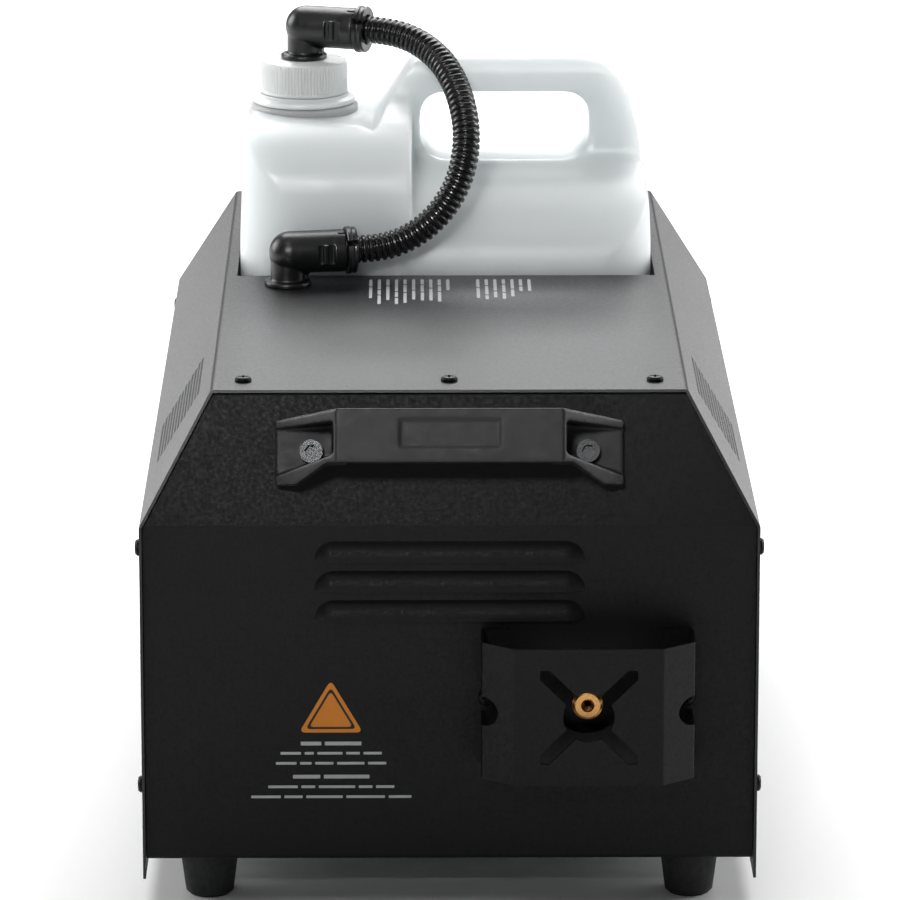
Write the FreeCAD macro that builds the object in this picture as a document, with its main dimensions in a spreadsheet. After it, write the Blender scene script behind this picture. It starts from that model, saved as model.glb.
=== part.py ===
import FreeCAD, Part
import math
import os
import re
import Sketcher
from FreeCAD import Placement, Rotation, Vector

# A fog machine: a folded steel housing on four rubber feet, a fluid can seated in a well in its deck,
# a pump and a heater block inside, a brass nozzle behind a guard, and a corrugated hose to the can's cap.
# X runs across the machine, Y from the nozzle end to the control end, Z up. Z = 0 is under the feet.

SIZES = {
    # housing
    "width": 270.0, "deck_width": 207.2, "side_rise": 152.2, "body_rise": 209.5, "depth": 482.2,
    "front_slant": 17.5, "rear_slant": 51.4, "wall": 1.2, "skirt": 8.0, "recess": 2.6, "seam": 0.3,
    "bend": 2.5, "lip": 22.0, "side_lip": 14.0,
    # feet
    "foot_rise": 22.0, "foot_top": 26.5, "foot_bottom": 21.2, "foot_across": 213.0, "foot_inset": 25.0,
    "foot_edge": 1.5, "foot_pocket": 12.0, "foot_hole": 4.6,
    # vents in the sloping sides
    "vent_low": 160.0, "vent_high": 198.5, "vent_start": 60.0, "vent_length": 72.0, "vent_lean": 15.6,
    "vent_hole": 2.5, "vent_pitch": 3.9, "vent_margin": 1.4,
    # screws
    "screw_head": 7.4, "screw_rise": 2.2, "screw_shank": 3.9, "screw_length": 8.0, "screw_hole": 4.3,
    "screw_slot": 0.9, "deck_screw_x": 90.0, "deck_screw_in": 16.0, "side_screw_in": 9.0,
    "side_screw_low": 33.0, "side_screw_high": 141.0, "base_screw_x": 122.5, "base_screw_in": 12.0,
    # louvres
    "louvre_width": 118.0, "louvre_rise": 8.6, "louvre_out": 4.2, "louvre_low": 110.1,
    "louvre_pitch": 13.3, "louvre_count": 3, "louvre_wall": 0.9,
    # front handle
    "grip_screws": 120.0, "grip_length": 151.0, "grip_bar": 98.0, "grip_rise": 183.0, "grip_out": 36.0,
    "grip_pad": 29.5, "grip_bar_low": 9.0, "grip_bar_high": 2.5, "grip_gap": 22.0, "grip_reach": 45.0,
    "grip_toe": 9.0, "grip_skin": 3.6, "grip_floor": 5.0, "grip_taper": 1.5, "grip_badge_x": 44.0,
    "grip_badge_z": 12.5, "grip_badge_in": 0.5,
    "cap_screw": 6.0, "cap_head": 10.0, "cap_head_rise": 6.0, "cap_screw_length": 16.0, "cap_socket": 5.0,
    "nut_across": 10.0, "nut_rise": 5.0,
    # nozzle and its guard
    "nozzle_x": 60.0, "nozzle_rise": 75.0, "guard_out": 30.0, "guard_height": 61.5, "guard_front": 64.4,
    "guard_wide": 92.6, "guard_wing": 11.0, "guard_toe": 13.0, "guard_hole": 22.3, "guard_slot": 5.9,
    "guard_slot_reach": 19.2, "guard_screw_x": 44.0, "guard_access": 13.0, "guard_bend": 1.8,
    "outlet_hole": 34.0,
    "nozzle_tip": 11.8, "nozzle_body": 13.4, "nozzle_bore": 5.9, "nozzle_orifice": 3.0, "nozzle_out": 12.3,
    "nozzle_shoulder": 2.2, "nozzle_thread": 9.8, "nozzle_thread_length": 16.0,
    # heater
    "heater_in": 20.0, "heater_length": 150.0, "heater_wide": 56.0, "heater_wrap": 11.0, "heater_skin": 0.8,
    "heater_toe": 14.0, "element": 12.5, "element_length": 128.0, "element_stub": 14.0, "element_x": 15.0,
    "element_fit": 0.15, "pipe": 4.0, "switch_disc": 16.0, "switch_rise": 9.0,
    "switch_window": 24.0, "switch_apart": 60.0,
    # pump
    "pump_x": -62.0, "pump_y": 118.0, "pump_rise": 46.0, "coil_wide": 40.0, "coil_long": 44.0,
    "coil_high": 38.0, "yoke_wall": 2.0, "core": 20.0, "core_wall": 1.6, "core_length": 78.0,
    "plunger_length": 24.0, "plunger_fit": 0.15, "spring_length": 16.0,
    "spring_wire": 1.2, "spring_turns": 6.0, "pump_fitting": 14.0, "pump_inlet": 8.0,
    "holder_wall": 5.0, "holder_depth": 8.0, "tube": 6.0, "tube_wall": 1.0,
    # can and its well
    "can_width": 192.5, "can_depth": 134.0, "can_y": 309.0, "can_floor": 53.0, "can_shoulder": 276.0,
    "can_top": 303.6, "can_corner": 27.0, "can_wall": 1.6, "can_handle": 32.0, "can_split": -16.0,
    "can_bend_low": 235.0, "can_bend_mid": 255.0, "can_bend_high": 268.0, "can_in_mid": 5.0,
    "can_in_high": 16.0, "can_in_top": 32.0, "can_crest": 6.5, "can_crest_in": 5.5, "can_pinch_low": 218.0,
    "can_pinch_mid": 228.0, "can_pinch_high": 239.0, "can_pinch_top": 246.0, "can_pinch_end": 251.0,
    "can_pinch_in_mid": 3.0, "can_pinch_in_high": 15.0, "can_pinch_in_top": 31.0, "well_gap": 2.0,
    "well_wall": 1.0, "well_lip": 9.0, "well_side_lip": 3.0, "grip_hole_low": 254.5, "grip_hole_high": 286.5,
    "grip_hole_left": -11.5, "grip_hole_right": 68.0, "grip_hole_corner": 10.0,
    "neck_x": -67.3, "neck": 38.4, "neck_bore": 32.0, "neck_collar": 51.0, "collar_rise": 3.6,
    "ring": 48.5, "ring_rise": 4.6, "cap": 42.0, "cap_top": 300.4, "cap_wall": 1.8, "cap_fit": 0.4,
    "cap_edge": 1.5,
    # elbows and hose
    "elbow_flange": 21.8, "elbow_flange_rise": 2.5, "elbow_barrel": 16.0, "elbow_arm": 20.0,
    "elbow_axis": 15.5, "elbow_length": 27.0, "elbow_bore": 11.0, "elbow_shift": 2.0, "elbow_shank": 13.0,
    "elbow_fit": 0.3, "lower_turn": 10.0, "upper_turn": 18.0, "collar": 22.4, "collar_length": 5.0,
         "collar_fit": 0.3,
    "collar_slot": 3.0, "lower_elbow_x": -74.0, "lower_elbow_y": 221.0, "locknut": 24.0,
    "locknut_rise": 4.0, "locknut_drop": 3.0, "hose": 13.0, "hose_lead": 16.0,
    "dip_tube": 6.0, "dip_end": 12.0, "filter": 13.0, "filter_length": 22.0,
    # controls on the sloping part of the rear panel
    "display_x": -28.0, "display_up": 38.0, "display_wide": 66.0, "display_high": 24.0,
    "display_glass": 2.0, "display_deep": 9.0, "window_wide": 60.0, "window_high": 18.0,
    "button_x": 30.0, "button_pitch": 13.0, "button_up": 38.0, "button": 8.0, "button_out": 2.4,
    "button_flange": 10.5, "button_stem": 5.0, "button_fit": 0.25, "button_travel": 1.2,
    "board_gap": 11.0, "board": 1.6, "board_wide": 150.0, "board_high": 44.0,
    # sockets on the rear panel
    "inlet_x": -84.0, "inlet_rise": 62.0, "inlet_wide": 48.0, "inlet_high": 58.0, "inlet_flange": 3.0,
    "inlet_deep": 24.0, "inlet_body_wide": 27.4, "inlet_body_high": 47.0, "inlet_screws": 40.0,
    "fuse_wide": 22.0, "fuse_high": 11.0, "fuse_deep": 20.0, "fuse_fit": 0.3,
    "rocker_x": -22.0, "rocker_rise_z": 62.0, "bezel_wide": 21.0, "bezel_high": 28.0, "bezel": 2.0,
    "rocker_wide": 12.0, "rocker_half": 9.0, "rocker_out": 3.4, "rocker_tilt": 8.0, "rocker_fit": 0.35,
    "rocker_pivot": 3.0,
    "rocker_deep": 12.0, "rocker_crest": 1.6, "rocker_edge": 0.5,
    "socket_x": 38.0, "socket_pitch": 46.0, "socket_rise": 62.0, "socket_wide": 26.0, "socket_high": 31.0,
    "socket_flange": 2.0, "socket_deep": 20.0, "socket_hole": 23.6, "socket_body": 23.0,
    "socket_bore": 19.0, "socket_bore_deep": 14.0, "socket_pin": 2.2, "socket_screw_x": 9.5,
    "socket_screw_z": 12.0, "small_screw": 3.0, "small_head": 5.5, "small_rise": 1.6,
    "small_length": 7.0,
    # power board in the rear bay
    "power_x": -40.0, "power_y": 424.0, "power_wide": 130.0, "power_deep": 74.0, "spacer": 8.0,
    "spacer_rise": 10.0, "spacer_in": 6.0,
}

# Places worked out from the sizes above: each is an expression in their names.
DERIVED = {
    "rocker_reach": "(bezel + rocker_out - rocker_crest) * cos(rocker_tilt)",
    "rear_out": "rocker_reach + (rocker_half - rocker_edge) * sin(rocker_tilt) - recess",
    "front": "(guard_out - depth - rear_out) / 2",
    "back": "front + depth",
    "base": "foot_rise",
    "front_face": "front + recess",
    "rear_face": "back - recess",
    "panel_half": "width / 2 - wall - seam",
    "slope": "(width - deck_width) / 2 / (body_rise - side_rise)",
    "slope_angle": "atan(slope)",
    "front_lean": "atan(front_slant / (body_rise - side_rise))",
    "rear_lean": "atan(rear_slant / (body_rise - side_rise))",
    "lid": "body_rise - wall - seam",
    "floor_top": "base + 2 * wall",
    "can_half": "can_width / 2",
    "can_line": "front + can_y",
    "can_base": "base + can_floor",
    "well_half_x": "can_width / 2 + well_gap",
    "well_half_y": "can_depth / 2 + well_gap",
    "well_floor": "can_base",
    "well_top": "base + body_rise - wall",
    "heater_front": "front + heater_in",
    "heater_back": "heater_front + heater_length",
    "nozzle_line": "base + nozzle_rise",
    "pump_line": "front + pump_y",
    "pump_axis": "base + pump_rise",
    "core_half": "core_length / 2",
    "cap_seat": "base + cap_top",
    "ring_base": "base + can_shoulder + collar_rise",
    "cap_base": "ring_base + ring_rise",
    "lower_x": "lower_elbow_x",
    "lower_y": "front + lower_elbow_y",
    "deck": "base + body_rise",
    "rear_z": "base + side_rise",
}

SHEET = "Sizes"
doc = FreeCAD.newDocument("fog_machine")
sheet = doc.addObject("Spreadsheet::Sheet", SHEET)
for row, (alias, size) in enumerate(SIZES.items(), start=1):
    sheet.set(f"A{row}", alias)
    sheet.set(f"B{row}", str(size))
    sheet.setAlias(f"B{row}", alias)
doc.recompute()

nodes = {}


# ---- expressions -------------------------------------------------------------------------------------

def ex(text):
    """Writes an expression in plain size names as one that reads the sheet's cells."""
    def swap(match):
        word = match.group(0)
        if word in DERIVED:
            return "(" + ex(DERIVED[word]) + ")"
        return f"{SHEET}.{word}" if word in SIZES else word
    return re.sub(r"[A-Za-z_][A-Za-z_0-9]*", swap, str(text))


def value(text):
    """The present number of an expression."""
    found = sheet.evalExpression(ex(text))
    return float(getattr(found, "Value", found))


def bind(thing, **properties):
    for name, text in properties.items():
        thing.setExpression(name.replace("__", "."), ex(text))


def put(thing, x="0", y="0", z="0", axis=None, angle="0"):
    """Places an object by expressions: a corner or centre, and one turn about an axis."""
    if axis is not None:
        thing.Placement = Placement(Vector(), Rotation(Vector(*axis), 1.0))
        bind(thing, Placement__Rotation__Angle=angle)
    bind(thing, Placement__Base__x=x, Placement__Base__y=y, Placement__Base__z=z)
    return thing


def name_node(thing, label):
    thing.Label = label
    nodes[label] = thing
    return thing


# ---- PartDesign helpers ------------------------------------------------------------------------------

def new_body(label, part=True):
    body = doc.addObject("PartDesign::Body", label + "_body")
    body.Label = label
    if part:
        nodes[label] = body
    return body


def sketch(body, plane, at="0", up="0", tilt=None):
    """A sketch on one of the body's planes, moved to a distance along the world axis it faces.

    up moves the sketch's own origin along Z, and tilt leans the sketch about X, both for XZ only.
    """
    origin = next(item for item in body.Origin.OriginFeatures if item.Role == plane + "_Plane")
    flat = body.newObject("Sketcher::SketchObject", body.Name + "_sketch")
    flat.AttachmentSupport = [(origin, "")]
    flat.MapMode = "FlatFace"
    if tilt is not None:
        flat.AttachmentOffset = Placement(Vector(), Rotation(Vector(1, 0, 0), 1.0))
        bind(flat, AttachmentOffset__Rotation__Angle=tilt)
    away = f"-({at})" if plane == "XZ" else at
    bind(flat, AttachmentOffset__Base__z=away, AttachmentOffset__Base__y=up)
    return flat


def outline(flat, points):
    """Adds a closed outline of straight lines; each corner is a pair of expressions."""
    first = flat.GeometryCount
    count = len(points)
    spots = [Vector(value(x), value(y), 0) for x, y in points]
    for index in range(count):
        flat.addGeometry(Part.LineSegment(spots[index], spots[(index + 1) % count]))
    for index in range(count):
        after = first + (index + 1) % count
        flat.addConstraint(Sketcher.Constraint("Coincident", first + index, 2, after, 1))
    for index, (x, y) in enumerate(points):
        for kind, text, now in (("DistanceX", x, spots[index].x), ("DistanceY", y, spots[index].y)):
            mark = flat.addConstraint(Sketcher.Constraint(kind, -1, 1, first + index, 1, now))
            flat.setExpression(f"Constraints[{mark}]", ex(text))
    return flat


def rectangle(flat, x, y, wide, high):
    """A rectangle centred on (x, y)."""
    left, right = f"({x}) - ({wide}) / 2", f"({x}) + ({wide}) / 2"
    low, top = f"({y}) - ({high}) / 2", f"({y}) + ({high}) / 2"
    return outline(flat, [(left, low), (right, low), (right, top), (left, top)])


def circle(flat, x, y, across):
    mark = flat.addGeometry(Part.Circle(Vector(value(x), value(y), 0), Vector(0, 0, 1), value(across) / 2))
    for kind, text, now in (("DistanceX", x, value(x)), ("DistanceY", y, value(y))):
        rule = flat.addConstraint(Sketcher.Constraint(kind, -1, 1, mark, 3, now))
        flat.setExpression(f"Constraints[{rule}]", ex(text))
    rule = flat.addConstraint(Sketcher.Constraint("Diameter", mark, value(across)))
    flat.setExpression(f"Constraints[{rule}]", ex(across))
    return flat


def pad(body, flat, length, both=False, reverse=False):
    """Thickens a sketch along its plane's own direction (-Y for XZ), reversed, or to both sides."""
    feature = body.newObject("PartDesign::Pad", body.Name + "_pad")
    feature.Profile = flat
    feature.Midplane = both
    feature.Reversed = reverse
    bind(feature, Length=length)
    doc.recompute()
    return feature


def pocket(body, flat, length, both=False, reverse=False):
    """Cuts a sketch against its plane's own direction (+Y for XZ), reversed, or to both sides."""
    before = body.Shape.Volume
    feature = body.newObject("PartDesign::Pocket", body.Name + "_pocket")
    feature.Profile = flat
    feature.Midplane = both
    feature.Reversed = reverse
    bind(feature, Length=length)
    doc.recompute()
    if feature.Shape.Volume > before - 1e-3:
        raise ValueError(f"{body.Label}: a pocket removes nothing")
    return feature


def revolve(body, flat, axis="V_Axis"):
    feature = body.newObject("PartDesign::Revolution", body.Name + "_turn")
    feature.Profile = flat
    feature.ReferenceAxis = (flat, [axis])
    feature.Angle = 360.0
    doc.recompute()
    return feature


def soften(body, radius, chosen, kind="Fillet"):
    """Rounds or bevels the edges that the test picks."""
    tip = body.Tip
    names = [f"Edge{index}" for index, edge in enumerate(tip.Shape.Edges, start=1) if chosen(edge)]
    if not names:
        raise ValueError(f"{body.Label}: no edge to soften")
    feature = body.newObject(f"PartDesign::{kind}", body.Name + "_edges")
    feature.Base = (tip, names)
    bind(feature, **{"Radius" if kind == "Fillet" else "Size": radius})
    doc.recompute()
    return feature


def runs_along(edge, axis):
    """True for a straight edge parallel to an axis, given as a Vector."""
    if edge.Curve.TypeId != "Part::GeomLine":
        return False
    return abs(abs(edge.Curve.Direction.dot(axis)) - 1) < 1e-6


def middle(edge):
    return edge.valueAt((edge.FirstParameter + edge.LastParameter) / 2)


X_AXIS, Y_AXIS, Z_AXIS = Vector(1, 0, 0), Vector(0, 1, 0), Vector(0, 0, 1)


# ---- Part helpers ------------------------------------------------------------------------------------

def box(name, size, corner):
    """A Part box from its size and its lowest corner."""
    thing = doc.addObject("Part::Box", name)
    bind(thing, Length=size[0], Width=size[1], Height=size[2])
    return put(thing, *corner)


TURNS = {"z": ((0, 0, 1), "0"), "-z": ((1, 0, 0), "180"), "y": ((1, 0, 0), "-90"),
         "-y": ((1, 0, 0), "90"), "x": ((0, 1, 0), "90"), "-x": ((0, 1, 0), "-90")}


def rod(name, across, length, start, way="z"):
    """A Part cylinder from the centre of its first end, along a world direction."""
    thing = doc.addObject("Part::Cylinder", name)
    bind(thing, Radius=f"({across}) / 2", Height=length)
    axis, angle = TURNS[way]
    return put(thing, *start, axis=axis, angle=angle)


def union(name, *things):
    if len(things) == 1:
        return things[0]
    whole = doc.addObject("Part::MultiFuse", name)
    whole.Shapes = list(things)
    return whole


def minus(name, base, *tools):
    whole = doc.addObject("Part::Cut", name)
    whole.Base = base
    whole.Tool = union(name + "_tools", *tools)
    return whole


def group(name, *things):
    whole = doc.addObject("Part::Compound", name)
    whole.Links = list(things)
    return whole


def fixed(label, shape):
    """A part whose shape is worked out here from the sheet's sizes."""
    thing = doc.addObject("Part::Feature", label + "_shape")
    thing.Shape = shape
    return name_node(thing, label)


def copies(label, master, places):
    """One node that holds a copy of a master's shape at each placement."""
    doc.recompute()
    source = master.Shape.copy()
    shapes = []
    for place in places:
        item = source.copy()
        item.Placement = place.multiply(source.Placement)
        shapes.append(item)
    return fixed(label, Part.makeCompound(shapes))


def spot(x, y, z, axis=(0, 0, 1), angle=0.0):
    """A placement from three expressions and a turn in degrees."""
    return Placement(Vector(value(x), value(y), value(z)), Rotation(Vector(*axis), angle))


def bent_tube(points, across, bore=0.0, label=""):
    """A round tube on straight runs joined by tangent arcs; prints its bend radii and checks its volume."""
    runs = [b - a for a, b in zip(points, points[1:])]
    edges, radii = [], []
    start = points[0]
    for index in range(1, len(points) - 1):
        before, after = runs[index - 1], runs[index]
        reach = 0.45 * min(before.Length, after.Length)
        turn = before.getAngle(after)
        radii.append(reach / math.tan(turn / 2))
        corner = points[index]
        enter = corner - Vector(before).normalize() * reach
        leave = corner + Vector(after).normalize() * reach
        inward = (Vector(after).normalize() - Vector(before).normalize()).normalize()
        crown = corner + inward * (radii[-1] / math.cos(turn / 2) - radii[-1])
        edges.append(Part.LineSegment(start, enter).toShape())
        edges.append(Part.Arc(enter, crown, leave).toShape())
        start = leave
    edges.append(Part.LineSegment(start, points[-1]).toShape())
    path = Part.Wire(edges)
    length = sum(edge.Length for edge in edges)

    def sweep(size):
        ring = Part.Wire(Part.Circle(points[0], runs[0], size / 2).toShape())
        return path.makePipeShell([ring], True, True)

    solid = sweep(across)
    area = math.pi * across ** 2 / 4
    if bore:
        solid = solid.cut(sweep(bore))
        area -= math.pi * bore ** 2 / 4
    print(f"{label}: length {length:.1f} mm, radii " + ", ".join(f"{r:.1f}" for r in radii))
    if abs(solid.Volume / (area * length) - 1) > 0.01:
        raise ValueError(f"{label}: volume differs from section times length")
    return solid


def pan_screw(name, head, rise, shank, length, slot="screw_slot"):
    """A cross-recessed pan-head screw, head upwards, its seat at Z = 0."""
    body = new_body(name, part=False)
    half = f"{head} / 2"
    profile = [("0", f"-{length}"), (f"{shank} / 2 - 0.5", f"-{length}"), (f"{shank} / 2", f"0.6 - {length}"),
               (f"{shank} / 2", "0"), (half, "0"), (half, f"0.5 * {rise}"),
               (f"0.8 * {half}", f"0.9 * {rise}"),
               (f"0.45 * {half}", rise), ("0", rise)]
    revolve(body, outline(sketch(body, "XZ"), profile))
    for wide, deep in ((f"0.55 * {head}", slot), (slot, f"0.55 * {head}")):
        flat = rectangle(sketch(body, "XY", at=rise), "0", "0", wide, deep)
        pocket(body, flat, f"0.55 * {rise}")
    return body


# ---- housing -----------------------------------------------------------------------------------------

def top_cover():
    """The outer cover: sides, sloping shoulders and deck, folded from one sheet."""
    body = new_body("top_cover")
    inner_side = "base + side_rise - wall * tan(slope_angle / 2)"
    inner_deck = "deck_width / 2 - wall * tan(45 deg - slope_angle / 2)"
    right = [("width / 2", "base - skirt"), ("width / 2", "base + side_rise"), ("deck_width / 2", "deck")]
    inside = [(inner_deck, "deck - wall"), ("width / 2 - wall", inner_side),
              ("width / 2 - wall", "base - skirt")]

    def mirrored(points):
        return [(f"-({x})", y) for x, y in reversed(points)]

    profile = right + mirrored(right) + mirrored(inside) + inside
    pad(body, outline(sketch(body, "XZ", at="front"), profile), "depth", reverse=True)
    outer_folds = [(value(x), value(z)) for x, z in right[1:]]
    inner_folds = [(value(x), value(z)) for x, z in inside[:2]]

    def at_fold(edge, folds):
        at = middle(edge)
        near = any(math.hypot(abs(at.x) - x, at.z - z) < 0.1 for x, z in folds)
        return near and runs_along(edge, Y_AXIS)

    soften(body, "bend - wall", lambda edge: at_fold(edge, inner_folds))
    soften(body, "bend", lambda edge: at_fold(edge, outer_folds))
    beyond = "deck + skirt"
    slants = sketch(body, "YZ")
    outline(slants, [("front", "base + side_rise"), ("front + front_slant", "deck"),
                     ("front + front_slant", beyond), ("front - skirt", beyond),
                     ("front - skirt", "base + side_rise")])
    outline(slants, [("back", "base + side_rise"), ("back + skirt", "base + side_rise"),
                     ("back + skirt", beyond),
                     ("back - rear_slant", beyond), ("back - rear_slant", "deck")])
    pocket(body, slants, "2 * width", both=True)
    deck = sketch(body, "XY", at="deck + wall")
    rectangle(deck, "0", "can_line", "2 * well_half_x", "2 * well_half_y")
    circle(deck, "lower_x", "lower_y", "elbow_shank + 2 * elbow_fit")
    for x, y in DECK_SCREWS:
        circle(deck, x, y, "screw_hole")
    pocket(body, deck, "4 * wall")
    sides = sketch(body, "YZ")
    for y, z in SIDE_SCREWS:
        circle(sides, y, z, "screw_hole")
    outline(sides, VENT_OUTLINE)
    pocket(body, sides, "2 * width", both=True)
    return body


DECK_SCREWS = [(x, y) for y in ("front + front_slant + deck_screw_in", "back - rear_slant - deck_screw_in")
               for x in ("-deck_screw_x", "0", "deck_screw_x")]
SIDE_SCREWS = [(y, z) for y in ("front + side_screw_in", "back - side_screw_in")
               for z in ("base + side_screw_low", "base + side_screw_high")]
BASE_SCREWS = [(x, y) for y in ("front + recess + base_screw_in", "back - recess - base_screw_in")
               for x in ("-base_screw_x", "base_screw_x")]
VENT_OUTLINE = [("front + vent_start", "base + vent_high"), ("front + vent_start + vent_length",
                                                             "base + vent_high"),
                ("front + vent_start + vent_length + vent_lean", "base + vent_low"),
                ("front + vent_start + vent_lean", "base + vent_low")]


def vent(label, side):
    """The punched field of one sloping side: staggered round holes in a leaning four-sided plate."""
    slope_run = value("slope")
    wall, thick = value("wall"), value("wall") / math.cos(math.atan(slope_run))
    spots = [(value(y), value(z)) for y, z in VENT_OUTLINE]
    edge_x = value("width / 2") - (spots[0][1] - value("base + side_rise")) * slope_run
    low_x = value("width / 2") - (spots[2][1] - value("base + side_rise")) * slope_run
    outer = [Vector(side * (edge_x if z == spots[0][1] else low_x), y, z) for y, z in spots]
    face = Part.Face(Part.makePolygon(outer + outer[:1]))
    plate = face.extrude(Vector(-side * thick, 0, 0))
    along = (outer[1] - outer[0]).normalize()
    down = outer[3] - outer[0]
    normal = along.cross(down).normalize()
    pitch, margin = value("vent_pitch"), value("vent_margin") + value("vent_hole") / 2
    columns = int((value("vent_length") - 2 * margin) / pitch)
    rows = int((down.Length - 2 * margin) / (pitch * math.sqrt(3) / 2))
    step = (value("vent_length") - 2 * margin) / (columns + 0.5)
    drop = (down.Length - 2 * margin) / rows
    holes = []
    for row in range(rows + 1):
        line = outer[0] + Vector(down).normalize() * (margin + row * drop) + along * margin
        for column in range(columns + 1):
            centre = line + along * ((column + 0.5 * (row % 2)) * step)
            start = centre - normal * 2 * wall
            holes.append(Part.makeCylinder(value("vent_hole") / 2, 4 * wall, start, normal))
    return fixed(label, plate.cut(holes))


def louvre(rise, out, half, back):
    """A pressed scoop, open below: an arc carried across, with quarter domes at its two ends."""
    radius = (rise ** 2 + out ** 2) / (2 * out)
    hub = radius - out
    bottom = Vector(half, -out, 0)
    turn = math.asin(rise / radius) / 2
    crown = Vector(half, hub - radius * math.cos(turn), radius * math.sin(turn))
    top = Vector(half, 0, rise)
    arc = Part.Arc(bottom, crown, top).toShape()
    lines = [Part.makeLine(top, Vector(half, back, rise)), Part.makeLine(Vector(half, back, rise),
             Vector(half, back, 0)), Part.makeLine(Vector(half, back, 0), bottom)]
    face = Part.Face(Part.Wire([arc] + lines))
    middle_part = face.extrude(Vector(-2 * half, 0, 0))
    right = face.revolve(Vector(half, 0, 0), Y_AXIS, 90)
    left = right.mirror(Vector(), X_AXIS)
    return middle_part.fuse([right, left]).removeSplitter()


def end_panel(label, face, inward, slant, holes):
    """A folded end panel: bottom flange, upright, slanted part, top flange and two side flanges."""
    body = new_body(label)
    lean = f"atan({slant} / (body_rise - side_rise))"
    top_y = f"{slant} * (lid - side_rise) / (body_rise - side_rise)"

    def y_at(distance):
        return f"{face} + ({inward}) * ({distance})"

    profile = [(y_at("lip"), "base"), (y_at("0"), "base"), (y_at("0"), "rear_z"),
               (y_at(top_y), "base + lid"), (y_at(f"{top_y} + lip"), "base + lid"),
               (y_at(f"{top_y} + lip"), "base + lid - wall"),
               (y_at(f"{top_y} + wall * tan(45 deg - {lean} / 2)"), "base + lid - wall"),
               (y_at("wall"), f"rear_z - wall * tan({lean} / 2)"),
               (y_at("wall"), "base + wall"), (y_at("lip"), "base + wall")]
    pad(body, outline(sketch(body, "YZ"), profile), "2 * panel_half", both=True)
    outer = [(value(y), value(z)) for y, z in profile[1:4]]
    inner = [(value(y), value(z)) for y, z in profile[6:9]]

    def near(edge, corners):
        at = middle(edge)
        return runs_along(edge, X_AXIS) and any(math.hypot(at.y - y, at.z - z) < 0.05 for y, z in corners)

    soften(body, "bend - wall", lambda edge: near(edge, inner))
    soften(body, "bend", lambda edge: near(edge, outer))
    corner = "(wall + seam) / cos(slope_angle)"
    trim = sketch(body, "XZ", at=f"{face} + ({inward}) * lip / 2")
    for sign in ("1", "-1"):
        points = [(f"width / 2 - {corner}", "rear_z"), (f"deck_width / 2 - {corner}", "deck"),
                  ("width", "deck"), ("width", "rear_z")]
        outline(trim, [(f"({sign}) * ({x})", z) for x, z in points])
    pocket(body, trim, f"4 * (lip + {slant})", both=True)
    flanges = sketch(body, "XZ", at=f"{face} + ({inward}) * wall / 2")
    for sign in ("1", "-1"):
        rectangle(flanges, f"({sign}) * (panel_half - wall / 2)", "base + side_rise / 2", "wall",
                  "side_rise - 2 * skirt")
    pad(body, flanges, "side_lip", reverse=inward == "1")
    fixings = sketch(body, "YZ")
    for y, z in SIDE_SCREWS[:2] if inward == "1" else SIDE_SCREWS[2:]:
        circle(fixings, y, z, "screw_shank")
    pocket(body, fixings, "2 * width", both=True)
    flats = sketch(body, "XY", at="deck")
    for x, y in DECK_SCREWS[:3] if inward == "1" else DECK_SCREWS[3:]:
        circle(flats, x, y, "screw_shank")
    pocket(body, flats, "8 * wall", both=True)
    floor = sketch(body, "XY", at="base")
    for x, y in BASE_SCREWS[:2] if inward == "1" else BASE_SCREWS[2:]:
        circle(floor, x, y, "screw_shank")
    pocket(body, floor, "8 * wall", both=True)
    upright = sketch(body, "XZ", at=face)
    holes(upright)
    pocket(body, upright, "8 * wall", both=True)
    return body


GUARD_SCREWS = [("nozzle_x - guard_screw_x", "nozzle_line"), ("nozzle_x + guard_screw_x", "nozzle_line")]


def front_panel():
    def holes(flat):
        circle(flat, "nozzle_x", "nozzle_line", "outlet_hole")
        for x, z in GUARD_SCREWS:
            circle(flat, x, z, "screw_shank")

    body = end_panel("front_panel", "front_face", "1", "front_slant", holes)
    sloping = sketch(body, "XZ",
                     at="front_face + front_slant * (grip_rise - side_rise) / (body_rise - side_rise)",
                     up="base + grip_rise", tilt="-front_lean")
    for sign in ("-1", "1"):
        circle(sloping, f"({sign}) * grip_screws / 2", "0", "cap_screw + 0.5")
    pocket(body, sloping, "8 * wall", both=True)
    doc.recompute()
    sheet_shape = body.Shape
    wall, skin = value("wall"), value("louvre_wall")
    rise, out = value("louvre_rise"), value("louvre_out")
    half = value("louvre_width") / 2 - rise
    shell = louvre(rise, out, half, wall)
    hollow = louvre(rise - skin, out - skin, half, 2 * wall)
    for index in range(int(value("louvre_count"))):
        lift = Vector(0, value("front_face"), value("base + louvre_low") + index * value("louvre_pitch"))
        sheet_shape = sheet_shape.fuse(shell.translated(lift)).cut(hollow.translated(lift))
    del nodes["front_panel"]
    body.Label = "front_sheet"
    return fixed("front_panel", sheet_shape.removeSplitter())


SOCKETS = ["socket_x", "socket_x + socket_pitch"]


def rear_panel():
    def holes(flat):
        rectangle(flat, "inlet_x", "base + inlet_rise", "inlet_body_wide + 2 * fuse_fit",
                  "inlet_body_high + 2 * fuse_fit")
        rectangle(flat, "rocker_x", "base + rocker_rise_z", "bezel_wide - 2 * bezel + 2 * fuse_fit",
                  "bezel_high - 2 * bezel + 2 * fuse_fit")
        for x in SOCKETS:
            circle(flat, x, "base + socket_rise", "socket_hole")
        for x, z in REAR_SCREWS:
            circle(flat, x, z, "small_screw + 0.2")

    body = end_panel("rear_panel", "rear_face", "-1", "rear_slant", holes)
    sloping = sketch(body, "XZ", at="rear_face - display_up * sin(rear_lean)",
                     up="rear_z + display_up * cos(rear_lean)", tilt="rear_lean")
    rectangle(sloping, "display_x", "0", "window_wide", "window_high")
    for index in range(BUTTONS):
        circle(sloping, f"button_x + {index} * button_pitch", "0", "button + 2 * button_fit")
    pocket(body, sloping, "8 * wall", both=True)
    return body


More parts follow.
